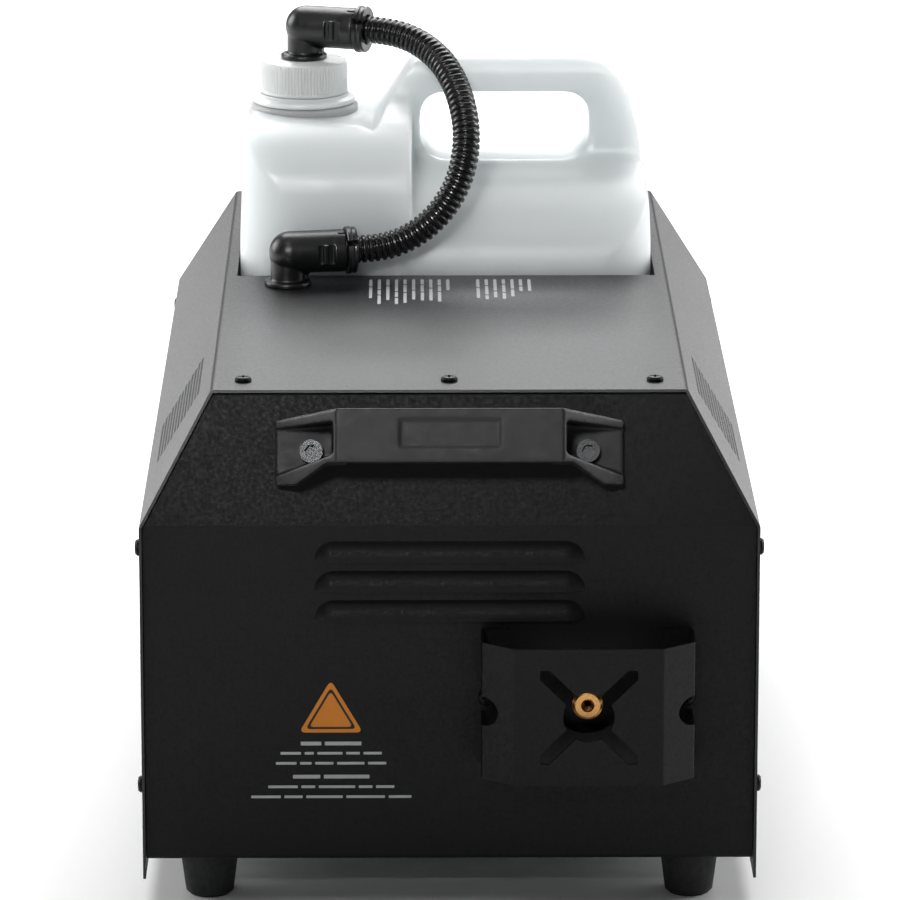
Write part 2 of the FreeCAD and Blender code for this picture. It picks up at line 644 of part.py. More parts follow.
BUTTONS = 4
REAR_SCREWS = [("inlet_x - inlet_screws / 2", "base + inlet_rise"), ("inlet_x + inlet_screws / 2",
               "base + inlet_rise")]
for place in SOCKETS:
    REAR_SCREWS.append((f"{place} - socket_screw_x", "base + socket_rise + socket_screw_z"))
    REAR_SCREWS.append((f"{place} + socket_screw_x", "base + socket_rise - socket_screw_z"))


FEET = {"foot_front_left": ("-1", "front + foot_inset"), "foot_front_right": ("1", "front + foot_inset"),
        "foot_rear_left": ("-1", "back - foot_inset"), "foot_rear_right": ("1", "back - foot_inset")}


def base_plate():
    """The floor pan: it lies on the end panels' bottom flanges, with its sides folded up."""
    body = new_body("base_plate")
    half, low, top = "panel_half", "base + wall", "floor_top"
    profile = [(f"-{half}", low), (half, low), (half, "base + side_lip"),
               (f"{half} - wall", "base + side_lip"),
               (f"{half} - wall", top), (f"wall - {half}", top), (f"wall - {half}", "base + side_lip"),
               (f"-{half}", "base + side_lip")]
    flat = outline(sketch(body, "XZ", at="front_face + side_lip + seam + wall"), profile)
    pad(body, flat, "depth - 2 * (recess + side_lip + seam + wall)", reverse=True)
    holes = sketch(body, "XY", at="floor_top")
    for side, y in FEET.values():
        circle(holes, f"({side}) * foot_across / 2", y, "foot_hole")
    for x, y in SPACERS:
        circle(holes, x, y, "small_screw")
    pocket(body, holes, "4 * wall", both=True)
    return body


SPACERS = [(f"power_x + ({sx}) * (power_wide / 2 - spacer_in)",
            f"front + power_y + ({sy}) * (power_deep / 2 - spacer_in)")
           for sx in ("-1", "1") for sy in ("-1", "1")]


def foot(label, side, y):
    """A tapered rubber foot with a pocket for its screw."""
    body = new_body(label)
    profile = [("0", "foot_pocket"), ("foot_hole", "foot_pocket"), ("foot_hole", "0"),
               ("foot_bottom / 2 - foot_edge", "0"), ("foot_bottom / 2", "foot_edge"),
               ("foot_top / 2", "foot_rise"),
               ("0", "foot_rise")]
    revolve(body, outline(sketch(body, "XZ"), profile))
    bore = circle(sketch(body, "XY", at="foot_rise"), "0", "0", "foot_hole")
    pocket(body, bore, "foot_rise")
    return put(body, f"({side}) * foot_across / 2", y, "0")


def can_well():
    """The tray that holds the can: four walls, a floor, and a lip under the deck."""
    body = new_body("can_well")
    wide, deep = "2 * (well_half_x + well_wall)", "2 * (well_half_y + well_wall)"
    tub = rectangle(sketch(body, "XY", at="well_floor - well_wall"), "0", "can_line", wide, deep)
    pad(body, tub, "well_top - well_floor + well_wall")
    rim = rectangle(sketch(body, "XY", at="well_top - well_wall"), "0", "can_line",
                    f"{wide} + 2 * well_side_lip", f"{deep} + 2 * well_lip")
    pad(body, rim, "well_wall")
    hollow = rectangle(sketch(body, "XY", at="well_top"), "0", "can_line", "2 * well_half_x",
                       "2 * well_half_y")
    pocket(body, hollow, "well_top - well_floor")
    return body


def fasteners():
    """The pan-head screws of the cover, base, feet and guard, and the small ones of the sockets."""
    screw = pan_screw("pan_screw", "screw_head", "screw_rise", "screw_shank", "screw_length")
    small = pan_screw("small_pan_screw", "small_head", "small_rise", "small_screw", "small_length", "0.7")
    deck = [spot(x, y, "deck") for x, y in DECK_SCREWS]
    sides = [spot(f"{side} * width / 2", y, z, (0, 1, 0), side * 90) for side in (-1, 1) for y,
             z in SIDE_SCREWS]
    copies("cover_screws", screw, deck + sides)
    copies("base_screws", screw, [spot(x, y, "base", (1, 0, 0), 180) for x, y in BASE_SCREWS])
    copies("foot_screws", screw, [spot(f"{side} * foot_across / 2", y, "foot_pocket", (1, 0, 0), 180)
                                  for side, y in FEET.values()])
    copies("guard_screws", screw, [spot(x, "front_face - wall", z, (1, 0, 0), 90) for x, z in GUARD_SCREWS])
    copies("socket_screws", small,
           [spot(x, f"rear_face + {'inlet_flange' if index < 2 else 'socket_flange'}", z, (1, 0, 0), -90)
            for index, (x, z) in enumerate(REAR_SCREWS)])


# ---- front handle ------------------------------------------------------------------------------------

def lean_on_front(thing):
    """Places a handle piece, drawn with its seat on Y = 0 and outwards along -Y, on the slanted panel."""
    return put(thing, "0", "front_face + front_slant * (grip_rise - side_rise) / (body_rise - side_rise)",
               "base + grip_rise", axis=(1, 0, 0), angle="-front_lean")


def handle():
    """The moulded grip: a bar between two open legs whose walls slope down to screwed pads."""
    body = new_body("handle")
    half, bar = "grip_length / 2", "grip_bar / 2"
    plan = [(f"-{half}", "0"), (f"-{half}", "-grip_toe"), (f"-{bar}", "-grip_out"), (bar, "-grip_out"),
            (half, "-grip_toe"), (half, "0"), ("grip_reach", "0"), ("grip_reach - grip_taper", "-grip_gap"),
            ("grip_taper - grip_reach", "-grip_gap"), ("-grip_reach", "0")]
    pad(body, outline(sketch(body, "XY", at="-grip_pad / 2"), plan), "grip_pad + grip_bar_high")
    low = sketch(body, "XZ", at="-grip_out / 2")
    outline(low, [(f"-{half} + grip_toe", "-grip_pad / 2"), (f"-{bar} - 4", "grip_bar_low - grip_pad / 2"),
                  (f"{bar} + 4", "grip_bar_low - grip_pad / 2"), (f"{half} - grip_toe", "-grip_pad / 2"),
                  (half, "-grip_pad"), (f"-{half}", "-grip_pad")])
    outline(low, [(f"-{half}", "grip_pad / 2 - grip_taper"), (f"-{bar}", "grip_pad / 2 + grip_bar_high"),
                  (f"-{bar}", "grip_pad"), (f"-{half} - 1", "grip_pad"),
                  (f"-{half} - 1", "grip_pad / 2 - grip_taper")])
    outline(low, [(half, "grip_pad / 2 - grip_taper"), (f"{half} + 1", "grip_pad / 2 - grip_taper"),
                  (f"{half} + 1", "grip_pad"),
                  (bar, "grip_pad"), (bar, "grip_pad / 2 + grip_bar_high")])
    pocket(body, low, "3 * grip_out", both=True)
    for sign in ("1", "-1"):
        flat = sketch(body, "XZ", at="-grip_out - 1")
        outline(flat, [(f"({sign}) * (grip_bar / 2 + 1.0)", "grip_bar_low - grip_pad / 2 + grip_skin"),
                       (f"({sign}) * (grip_length / 2 + 1)", "grip_skin - grip_pad / 2"),
                       (f"({sign}) * (grip_length / 2 + 1)", "grip_pad / 2 - grip_skin - grip_taper"),
                       (f"({sign}) * (grip_bar / 2 + 1.0)", "grip_pad / 2 - grip_skin + 1")])
        pocket(body, flat, "grip_out + 1 - grip_floor")
    badge = rectangle(sketch(body, "XZ", at="-grip_out"), "0", "grip_bar_low / 2 + grip_bar_high / 2 + 0.6",
                      "grip_badge_x", "grip_badge_z")
    pocket(body, badge, "grip_badge_in")
    holes = sketch(body, "XZ", at="-grip_floor")
    for sign in ("1", "-1"):
        circle(holes, f"({sign}) * grip_screws / 2", "0", "cap_screw + 0.5")
    pocket(body, holes, "grip_floor")
    return lean_on_front(body)


def handle_fixings():
    """Two socket-head screws through the handle's pads, and their nuts behind the panel."""
    screws, nuts = [], []
    for index, sign in enumerate(("1", "-1")):
        x = f"({sign}) * grip_screws / 2"
        head = rod(f"cap_head_{index}", "cap_head", "cap_head_rise", (x, "-grip_floor", "0"), "-y")
        shank = rod(f"cap_shank_{index}", "cap_screw", "cap_screw_length", (x, "-grip_floor", "0"), "y")
        socket = doc.addObject("Part::Prism", f"cap_socket_{index}")
        socket.Polygon = 6
        bind(socket, Circumradius="cap_socket / 2 / cos(30 deg)", Height="cap_head_rise / 2 + 1")
        put(socket, x, "-grip_floor - cap_head_rise / 2", "0", axis=(1, 0, 0), angle="90")
        screws.append(minus(f"cap_screw_{index}", union(f"cap_solid_{index}", head, shank), socket))
        nut = doc.addObject("Part::Prism", f"nut_blank_{index}")
        nut.Polygon = 6
        bind(nut, Circumradius="nut_across / 2 / cos(30 deg)", Height="nut_rise")
        put(nut, x, "wall", "0", axis=(1, 0, 0), angle="-90")
        hole = rod(f"nut_bore_{index}", "cap_screw", "nut_rise + 2", (x, "0", "0"), "y")
        nuts.append(minus(f"nut_{index}", nut, hole))
    for label, things in (("handle_screws", screws), ("handle_nuts", nuts)):
        lean_on_front(name_node(group(label + "_set", *things), label))


# ---- nozzle end --------------------------------------------------------------------------------------

def nozzle_guard():
    """The folded shield before the nozzle: a holed and cross-slotted front, two wings, walls and flanges."""
    body = new_body("nozzle_guard")
    front_half, wide_half = "guard_front / 2", "guard_wide / 2"
    reach = "guard_out + recess"
    wing_turn = "atan((guard_wide - guard_front) / 2 / guard_wing)"
    fold_in = f"wall * tan(45 deg - {wing_turn} / 2)"
    fold_out = f"wall * tan({wing_turn} / 2)"
    outer = [("guard_wide / 2 - guard_toe", "0"), (wide_half, "0"), (wide_half, f"-({reach}) + guard_wing"),
             (front_half, f"-({reach})")]
    inner = [(f"{front_half} - {fold_in}", f"-({reach}) + wall"),
             (f"{wide_half} - wall", f"-({reach}) + guard_wing + {fold_out}"),
             (f"{wide_half} - wall", "-wall"),
             ("guard_wide / 2 - guard_toe", "-wall")]

    def mirrored(points):
        return [(f"-({x})", y) for x, y in reversed(points)]

    plan = outer + mirrored(outer) + mirrored(inner) + inner
    pad(body, outline(sketch(body, "XY", at="-guard_height / 2"), plan), "guard_height")
    folds = [(value(x), value(y)) for x, y in outer[1:]]

    def at_fold(edge):
        at = middle(edge)
        return runs_along(edge, Z_AXIS) and any(math.hypot(abs(at.x) - x, at.y - y) < 0.05 for x, y in folds)

    soften(body, "guard_bend", at_fold)
    front = sketch(body, "XZ", at=f"-({reach}) - 1")
    circle(front, "0", "0", "guard_hole")
    pocket(body, front, "3 * wall")
    half = "guard_slot / 2 * 0.7071"
    tip = "guard_slot_reach"
    for a, b in ((1, 1), (-1, 1), (1, -1), (-1, -1)):
        slot = sketch(body, "XZ", at=f"-({reach}) - 1")
        outline(slot, [(f"{a} * ({half})", f"{-b} * ({half})"),
                       (f"{a} * ({tip} + {half})", f"{b} * ({tip} - {half})"),
                       (f"{a} * ({tip} + 0.9 * {half})", f"{b} * ({tip} + 0.9 * {half})"),
                       (f"{a} * ({tip} - {half})", f"{b} * ({tip} + {half})"),
                       (f"{-a} * ({half})", f"{b} * ({half})")])
        pocket(body, slot, "3 * wall")
    access = sketch(body, "XZ", at=f"-({reach}) - 1")
    for sign in ("1", "-1"):
        circle(access, f"({sign}) * (guard_wide / 2 - 0.6)", "0", "guard_access")
    pocket(body, access, f"{reach} + 1 - wall")
    holes = sketch(body, "XZ", at="-wall")
    for sign in ("1", "-1"):
        circle(holes, f"({sign}) * guard_screw_x", "0", "screw_hole")
    pocket(body, holes, "2 * wall", both=True)
    return put(body, "nozzle_x", "front_face", "nozzle_line")


def nozzle():
    """The turned brass jet: a tip with a fine orifice, a wider body and a threaded shank."""
    body = new_body("nozzle")
    tip, body_half, thread = "nozzle_tip / 2", "nozzle_body / 2", "nozzle_thread / 2"
    length = "nozzle_out + heater_in"
    profile = [("nozzle_orifice / 2", "-nozzle_thread_length"), (f"{thread} - 0.8", "-nozzle_thread_length"),
               (thread, "0.8 - nozzle_thread_length"), (thread, "0"), (body_half, "0"),
               (body_half, f"{length} - nozzle_shoulder"), (tip, f"{length} - nozzle_shoulder + 0.6"),
               (tip, f"{length} - 0.5"), (f"{tip} - 0.5", length), ("nozzle_bore / 2", length),
               ("nozzle_bore / 2", f"{length} - 2.5"), ("nozzle_orifice / 2", f"{length} - 3.5")]
    revolve(body, outline(sketch(body, "XZ"), profile))
    return put(body, "nozzle_x", "heater_front", "nozzle_line", axis=(1, 0, 0), angle="90")


def heater():
    """The cast block, its element, its ceramic wrap, the folded case and the two temperature switches."""
    low = "nozzle_line - heater_wide / 2"
    left = "nozzle_x - heater_wide / 2"
    block = box("block_blank", ("heater_wide", "heater_length", "heater_wide"), (left, "heater_front", low))
    socket = rod("block_socket", "nozzle_thread", "nozzle_thread_length + 6",
                 ("nozzle_x", "heater_front", "nozzle_line"), "y")
    feed = rod("block_feed", "pipe", "heater_length", ("nozzle_x", "heater_front", "nozzle_line"), "y")
    well = rod("block_well", "element + 2 * element_fit", "element_length + 2",
               ("nozzle_x + element_x", "heater_back", "nozzle_line - element_x"), "-y")
    name_node(minus("block", block, socket, feed, well), "heater_block")

    sheath = rod("element_sheath", "element", "element_length",
                 ("nozzle_x + element_x", "heater_back", "nozzle_line - element_x"), "-y")
    stubs = [rod(f"element_stub_{sign}", "2", "element_stub",
                 (f"nozzle_x + element_x + ({sign}) * element / 4", "heater_back",
                  "nozzle_line - element_x"), "y")
             for sign in ("1", "-1")]
    name_node(union("element_whole", sheath, *stubs), "heating_element")

    def shell(name, grow, thick):
        """A closed box around the block with the wall given, its inside grown by a distance."""
        def around(size):
            return ((f"heater_wide + 2 * ({size})", f"heater_length + 2 * ({size})",
                     f"heater_wide + 2 * ({size})"),
                    (f"{left} - ({size})", f"heater_front - ({size})", f"{low} - ({size})"))
        return box(name + "_out", *around(f"{grow} + {thick}")), box(name + "_in", *around(grow))

    def openings(name):
        reach = "heater_wrap + heater_skin + 2"
        front = rod(name + "_front", "nozzle_body + 1", reach, ("nozzle_x", "heater_front", "nozzle_line"),
                    "-y")
        back = rod(name + "_back", "pipe + 1", reach, ("nozzle_x", "heater_back", "nozzle_line"), "y")
        ends = rod(name + "_ends", "element + 1", reach,
                   ("nozzle_x + element_x", "heater_back", "nozzle_line - element_x"), "y")
        tops = [rod(f"{name}_top_{sign}", "switch_window", reach,
                    ("nozzle_x", f"heater_front + heater_length / 2 + ({sign}) * switch_apart / 2",
                     "nozzle_line + heater_wide / 2"), "z") for sign in ("1", "-1")]
        return [front, back, ends] + tops

    wrap_out, wrap_in = shell("wrap", "0", "heater_wrap")
    name_node(minus("wrap", wrap_out, wrap_in, *openings("wrap")), "heater_insulation")
    case_out, case_in = shell("case", "heater_wrap", "heater_skin")
    case = minus("case_shell", case_out, case_in, *openings("case"))
    under = f"{low} - heater_wrap - heater_skin"
    legs = []
    for sign in ("1", "-1"):
        x = f"nozzle_x + ({sign}) * (heater_wide / 2 + heater_wrap) - heater_skin / 2"
        toe_x = f"nozzle_x + ({sign}) * (heater_wide / 2 + heater_wrap - heater_toe / 2) - heater_toe / 2"
        legs.append(box(f"case_leg_{sign}", ("heater_skin", "heater_length",
                                             f"{under} - floor_top + heater_skin"),
                        (x, "heater_front", "floor_top")))
        legs.append(box(f"case_toe_{sign}", ("heater_toe", "heater_length", "heater_skin"),
                        (toe_x, "heater_front", "floor_top")))
    name_node(union("case_whole", case, *legs), "heater_case")

    discs = []
    for sign in ("1", "-1"):
        y = f"heater_front + heater_length / 2 + ({sign}) * switch_apart / 2"
        disc = rod(f"switch_disc_{sign}", "switch_disc", "switch_rise",
                   ("nozzle_x", y, "nozzle_line + heater_wide / 2"))
        tabs = [box(f"switch_tab_{sign}_{way}", ("0.8", "6.3", "9"),
                    (f"nozzle_x + ({way}) * 5 - 0.4", f"{y} - 3.15",
                     "nozzle_line + heater_wide / 2 + switch_rise - 1"))
                for way in ("1", "-1")]
        discs.append(union(f"switch_{sign}", disc, *tabs))
    name_node(group("switches", *discs), "temperature_switches")


# ---- pump --------------------------------------------------------------------------------------------

def pump():
    """The vibration pump: coil, steel yoke, core tube with fittings, plunger, spring and rubber holders."""
    coil = box("coil_blank", ("coil_wide", "coil_long - 2 * yoke_wall", "coil_high"),
               ("pump_x - coil_wide / 2", "pump_line - coil_long / 2 + yoke_wall",
                "pump_axis - coil_high / 2"))
    bore = rod("coil_bore", "core + 0.2", "coil_long + 2", ("pump_x", "pump_line - coil_long / 2 - 1",
                                                            "pump_axis"), "y")
    tags = [box(f"coil_tag_{sign}", ("6.3", "0.8", "9"),
                (f"pump_x + ({sign}) * 9 - 3.15", "pump_line - 0.4", "pump_axis + coil_high / 2 - 1"))
            for sign in ("1", "-1")]
    name_node(minus("coil", union("coil_solid", coil, *tags), bore), "pump_coil")
    yoke = box("yoke_blank", ("coil_wide + 2 * yoke_wall", "coil_long", "coil_high - 8"),
               ("pump_x - coil_wide / 2 - yoke_wall", "pump_line - coil_long / 2",
                "pump_axis - coil_high / 2 + 4"))
    room = box("yoke_room", ("coil_wide", "coil_long - 2 * yoke_wall", "coil_high"),
               ("pump_x - coil_wide / 2", "pump_line - coil_long / 2 + yoke_wall",
                "pump_axis - coil_high / 2"))
    hole = rod("yoke_hole", "core + 0.2", "coil_long + 2", ("pump_x", "pump_line - coil_long / 2 - 1",
                                                            "pump_axis"), "y")
    name_node(minus("yoke", yoke, room, hole), "pump_yoke")

    ends = {"front": ("pump_line - core_half", "-y"), "rear": ("pump_line + core_half", "y")}
    tube = rod("core_solid", "core", "core_length", ("pump_x", "pump_line - core_half", "pump_axis"), "y")
    fitting = rod("core_outlet", "pump_fitting", "10", ("pump_x", ends["front"][0], "pump_axis"), "-y")
    inlet = rod("core_inlet", "pump_inlet", "12", ("pump_x", ends["rear"][0], "pump_axis"), "y")
    room = rod("core_room", "core - 2 * core_wall", "core_length - 24",
               ("pump_x", "pump_line - core_half + 12", "pump_axis"), "y")
    out = rod("core_out", "pipe", "30", ("pump_x", "pump_line - core_half - 11", "pump_axis"), "y")
    way_in = rod("core_in", "pipe", "30", ("pump_x", "pump_line + core_half + 13", "pump_axis"), "-y")
    name_node(minus("core_tube", union("core_body", tube, fitting, inlet), room, out, way_in), "pump_tube")

    start = "pump_line - core_half + 12 + spring_length"
    slug = rod("plunger_solid", "core - 2 * core_wall - 2 * plunger_fit", "plunger_length",
               ("pump_x", start, "pump_axis"), "y")
    through = rod("plunger_bore", "pipe", "plunger_length + 2", ("pump_x", f"{start} - 1", "pump_axis"), "y")
    name_node(minus("plunger", slug, through), "pump_plunger")

    wire, turns = value("spring_wire"), value("spring_turns")
    radius = value("core / 2 - core_wall") - wire
    length = value("spring_length") - wire - 0.2
    helix = Part.makeHelix(length / turns, length, radius)
    ring = Part.Wire(Part.Circle(Vector(radius, 0, 0), Vector(0, radius, length / turns / 2 / math.pi),
                                 wire / 2).toShape())
    coil_shape = Part.Wire(helix).makePipeShell([ring], True, True)
    coil_shape.Placement = Placement(Vector(value("pump_x"),
                                            value("pump_line - core_half + 12") + wire / 2 + 0.1,
                                            value("pump_axis")), Rotation(X_AXIS, -90))
    fixed("pump_spring", coil_shape)

    holders = []
    for sign in ("1", "-1"):
        y = f"pump_line + ({sign}) * (core_half - holder_depth / 2 - 2) - holder_depth / 2"
        pad_box = box(f"holder_{sign}", ("core + 2 * holder_wall", "holder_depth",
                                         "pump_axis - floor_top + core / 2 + holder_wall"),
                      ("pump_x - core / 2 - holder_wall", y, "floor_top"))
        eye = rod(f"holder_eye_{sign}", "core", "holder_depth + 2", ("pump_x", f"{y} - 1", "pump_axis"), "y")
        holders.append(minus(f"pump_holder_{sign}", pad_box, eye))
    name_node(group("holders", *holders), "pump_holders")


def pipes():
    """The fluid tube from the deck elbow to the pump, and the pipe from the pump to the heater."""
    x, y, z = value("pump_x"), value("pump_line"), value("pump_axis")
    tail = y + value("core_half") + 12
    top = value("deck - wall - locknut_drop - locknut_rise") - 2
    drop = Vector(value("lower_x"), value("lower_y"), top)
    feed = [drop, drop - Vector(0, 0, 35), Vector(drop.x, drop.y - 1, z + 82),
            Vector(drop.x, drop.y - 4, z + 50),
            Vector(x - 9, tail + 39, z + 24), Vector(x - 4, tail + 27.5, z + 7), Vector(x, tail + 14, z),
            Vector(x, tail, z)]
    fixed("feed_tube", bent_tube(feed, value("tube"), value("tube - 2 * tube_wall"), "feed tube"))
    head = y - value("core_half") - 10
    gap = 17.0
    lane = value("nozzle_x - heater_wide / 2 - heater_wrap - heater_skin") - 14
    back = value("heater_back + heater_wrap") + 26
    height = value("nozzle_line")
    route = [Vector(x, head, z), Vector(x, head - gap, z), Vector((x + lane) / 2, head - gap - 8, z + 4),
             Vector(lane, head - gap + 14, z + 10), Vector(lane + 2, (head + back) / 2, height - 4),
             Vector(lane + 6, back - 14, height), Vector(value("nozzle_x") - 18, back + 2, height),
             Vector(value("nozzle_x"), back - 12, height), Vector(value("nozzle_x"), value("heater_back"),
                                                                  height)]
    fixed("heater_pipe", bent_tube(route, value("pipe"), value("pipe") - 1.4, "heater pipe"))


# ---- can, cap, elbows and hose -----------------------------------------------------------------------

def prism(name, plane, profile, length):
    """A hidden PartDesign block: an outline carried to both sides of its plane."""
    body = new_body(name, part=False)
    at = "can_line" if plane == "XZ" else "0"
    pad(body, outline(sketch(body, plane, at=at), profile), length, both=True)
    return body


def can_outline(inset):
    """The can's front outline, its walls moved in by a distance."""
    def z(rise, shift):
        return f"base + {rise} - ({shift}) * ({inset})"
    half = f"can_half - ({inset})"
    return [(f"-({half})", z("can_floor", -1)), (half, z("can_floor", -1)), (half, z("235", 0)),
            (f"{half} - 6", z("272", 0)), (f"{half} - 11", z("289", 0.4)), (f"{half} - 22", z("300.5", 1)),
            (f"{half} - 30", z("can_top", 1)), (f"({inset}) - 11", z("can_top", 1)),
            (f"({inset}) - 19", z("299.5", 1)), (f"({inset}) - 32", z("can_shoulder - 2", 1)),
            (f"({inset}) - 38", z("can_shoulder", 1)), (f"3 - ({half})", z("can_shoulder", 1)),
            (f"-({half})", z("235", 0))]


def can():
    """The blown can: a front outline, a rounded plan and a side outline intersected, hollow, with a neck."""
    def shape(name, inset):
        front = prism(name + "_front", "XZ", can_outline(inset), "2 * can_depth")
        plan = new_body(name + "_plan", part=False)
        flat = rectangle(sketch(plan, "XY", at="base"), "0", "can_line", f"can_width - 2 * ({inset})",
                         f"can_depth - 2 * ({inset})")
        pad(plan, flat, "2 * body_rise")
        soften(plan, f"can_corner - ({inset})", lambda edge: runs_along(edge, Z_AXIS))
        deep, thin = f"can_depth / 2 - ({inset})", f"can_handle / 2 - ({inset})"
        low = f"can_base - 1 + ({inset})"
        crest = [(thin, "base + can_top - can_crest"), (f"{thin} - can_crest_in", "base + can_top + 0.5")]
        neck_side = [(deep, low), (deep, "base + can_bend_low"), (f"{deep} - can_in_mid",
                     "base + can_bend_mid"),
                     (f"{deep} - can_in_high", "base + can_bend_high"),
                     (f"{deep} - can_in_top", "base + can_shoulder"), (thin, "base + can_shoulder + 4"),
                     *crest]
        grip_side = [(deep, low), (deep, "base + can_pinch_low"),
                     (f"{deep} - can_pinch_in_mid", "base + can_pinch_mid"),
                     (f"{deep} - can_pinch_in_high", "base + can_pinch_high"),
                     (f"{deep} - can_pinch_in_top", "base + can_pinch_top"),
                     (thin, "base + can_pinch_end"), *crest]
        halves = []
        for part, half_side, start, wide in (("neck", neck_side, "-can_width", "can_width + can_split"),
                                             ("grip", grip_side, "can_split", "can_width")):
            mirrored = [(f"can_line - ({y})", z) for y, z in reversed(half_side)]
            side = prism(f"{name}_{part}_side", "YZ", [(f"can_line + {y}", z) for y,
                         z in half_side] + mirrored,
                         "2 * can_width")
            zone = box(f"{name}_{part}_zone", (wide, "2 * can_depth", "2 * can_top"),
                       (start, "can_line - can_depth", "base"))
            both = doc.addObject("Part::MultiCommon", f"{name}_{part}")
            both.Shapes = [side, zone]
            halves.append(both)
        whole = doc.addObject("Part::MultiCommon", name)
        whole.Shapes = [front, plan, union(name + "_sides", *halves)]
        return whole

    outer = shape("can_outer", "0")
    inner = shape("can_inner", "can_wall")
    neck = rod("can_neck", "neck", "cap_seat - cap_wall - (base + can_shoulder) + 10",
               ("neck_x", "can_line", "base + can_shoulder - 10"))
    collar = rod("can_collar", "neck_collar", "collar_rise", ("neck_x", "can_line", "base + can_shoulder"))
    bore = rod("can_bore", "neck_bore", "60", ("neck_x", "can_line", "base + can_shoulder - 12"))
    lid_cut = box("can_lid", ("2 * can_width", "2 * can_depth", "can_top"),
                  ("-can_width", "can_line - can_depth", "base + grip_hole_low - 6"))
    cavity = minus("can_cavity", inner, lid_cut)
    cavity_left = box("can_cavity_left", ("can_half - 40 - can_wall - 3", "can_depth - 2 * can_corner", "30"),
                      ("3 + can_wall - can_half", "can_line - can_depth / 2 + can_corner",
                       "base + can_shoulder - 30 - can_wall"))
    grip = new_body("can_grip", part=False)
    flat = sketch(grip, "XZ", at="can_line")
    rectangle(flat, "(grip_hole_left + grip_hole_right) / 2", "base + (grip_hole_low + grip_hole_high) / 2",
              "grip_hole_right - grip_hole_left", "grip_hole_high - grip_hole_low")
    pad(grip, flat, "2 * can_depth", both=True)
    soften(grip, "grip_hole_corner", lambda edge: runs_along(edge, Y_AXIS))
    solid = union("can_solid", outer, neck, collar)
    name_node(minus("can_whole", solid, union("can_hollow", cavity, cavity_left), bore, grip), "can")

    ring = rod("ring_blank", "ring", "ring_rise", ("neck_x", "can_line", "ring_base"))
    eye = rod("ring_eye", "neck", "ring_rise + 2", ("neck_x", "can_line", "ring_base - 1"))
    name_node(minus("ring_whole", ring, eye), "neck_ring")


def cap():
    """The screw cap with the hole for the hose elbow."""
    body = new_body("cap")
    half, inside, hole = "cap / 2", "neck / 2 + cap_fit", "elbow_shank / 2 + elbow_fit"
    profile = [(inside, "cap_base + 0.3"), (half, "cap_base + 0.3"), (half, "cap_seat - cap_edge"),
               (f"{half} - 0.45 * cap_edge", "cap_seat - 0.45 * cap_edge"),
               (f"{half} - cap_edge", "cap_seat"),
               (hole, "cap_seat"), (hole, "cap_seat - cap_wall"), (inside, "cap_seat - cap_wall")]
    revolve(body, outline(sketch(body, "XZ"), profile))
    return put(body, "neck_x", "can_line", "0")


def elbow(prefix, x, y, z, turn):
    """One hose elbow with its split collar and the locknut under its seat, turned towards the hose."""
    flange = rod(prefix + "_flange", "elbow_flange", "elbow_flange_rise", ("0", "0", "0"))
    barrel = rod(prefix + "_barrel", "elbow_barrel", "elbow_axis", ("0", "0", "0"))
    shank = rod(prefix + "_shank", "elbow_shank", "locknut_drop + locknut_rise + 3",
                ("0", "0", "-locknut_drop - locknut_rise - 3"))
    heel = doc.addObject("Part::Sphere", prefix + "_heel")
    bind(heel, Radius="elbow_arm / 2")
    put(heel, "elbow_shift", "0", "elbow_axis")
    arm = rod(prefix + "_arm", "elbow_arm", "elbow_length - elbow_shift",
              ("elbow_shift", "0", "elbow_axis"), "x")
    riser = rod(prefix + "_riser", "elbow_bore - 2", "elbow_axis + locknut_drop + locknut_rise + 5",
                ("0", "0", "-locknut_drop - locknut_rise - 4"))
    run = rod(prefix + "_run", "elbow_bore", "elbow_length + 1", ("0", "0", "elbow_axis"), "x")
    windows = [box(f"{prefix}_window_{way}", ("6", "3", "7.5"),
                   ("elbow_length - 12.5", f"({way}) * (elbow_arm / 2 - 1) - 1.5", "elbow_axis - 3.75"))
               for way in ("1", "-1")]
    solid = union(prefix + "_solid", flange, barrel, shank, heel, arm)
    fitting = minus(prefix + "_fitting", solid, riser, run, *windows)
    blank = rod(prefix + "_ring", "collar", "collar_length", ("elbow_length", "0", "elbow_axis"), "x")
    eye = rod(prefix + "_eye", "hose + 2 * collar_fit", "collar_length + 2",
              ("elbow_length - 1", "0", "elbow_axis"), "x")
    split = box(prefix + "_split", ("collar_length + 2", "collar", "collar_slot"),
                ("elbow_length - 1", "-collar", "elbow_axis + collar / 5"))
    ring = minus(prefix + "_collar_ring", blank, eye, split)
    nut = doc.addObject("Part::Prism", prefix + "_nut_blank")
    nut.Polygon = 6
    bind(nut, Circumradius="locknut / 2", Height="locknut_rise")
    put(nut, "0", "0", "-locknut_drop - locknut_rise")
    nut_eye = rod(prefix + "_nut_eye", "elbow_shank", "locknut_rise + 2",
                  ("0", "0", "-locknut_drop - locknut_rise - 1"))
    nut_ring = minus(prefix + "_nut_ring", nut, nut_eye)
    for thing, label in ((fitting, prefix + "_elbow"), (ring, prefix + "_collar"),
                         (nut_ring, prefix + "_locknut")):
        put(name_node(thing, label), x, y, z, axis=(0, 0, 1), angle=turn)


# The hose's free points, in millimetres from the lower elbow's seat: it leaves that elbow level, loops
# towards +X in front of the can and comes back level into the upper elbow.
HOSE_LOOP = [(56.5, 8.5, 20.0), (68.5, 11.0, 28.5), (77.5, 14.5, 40.0), (82.5, 19.0, 53.0),
             (84.0, 25.5, 66.5), (82.0, 33.5, 79.0), (77.5, 44.0, 89.5), (71.0, 56.0, 97.0),
             (61.0, 66.5, 103.0)]


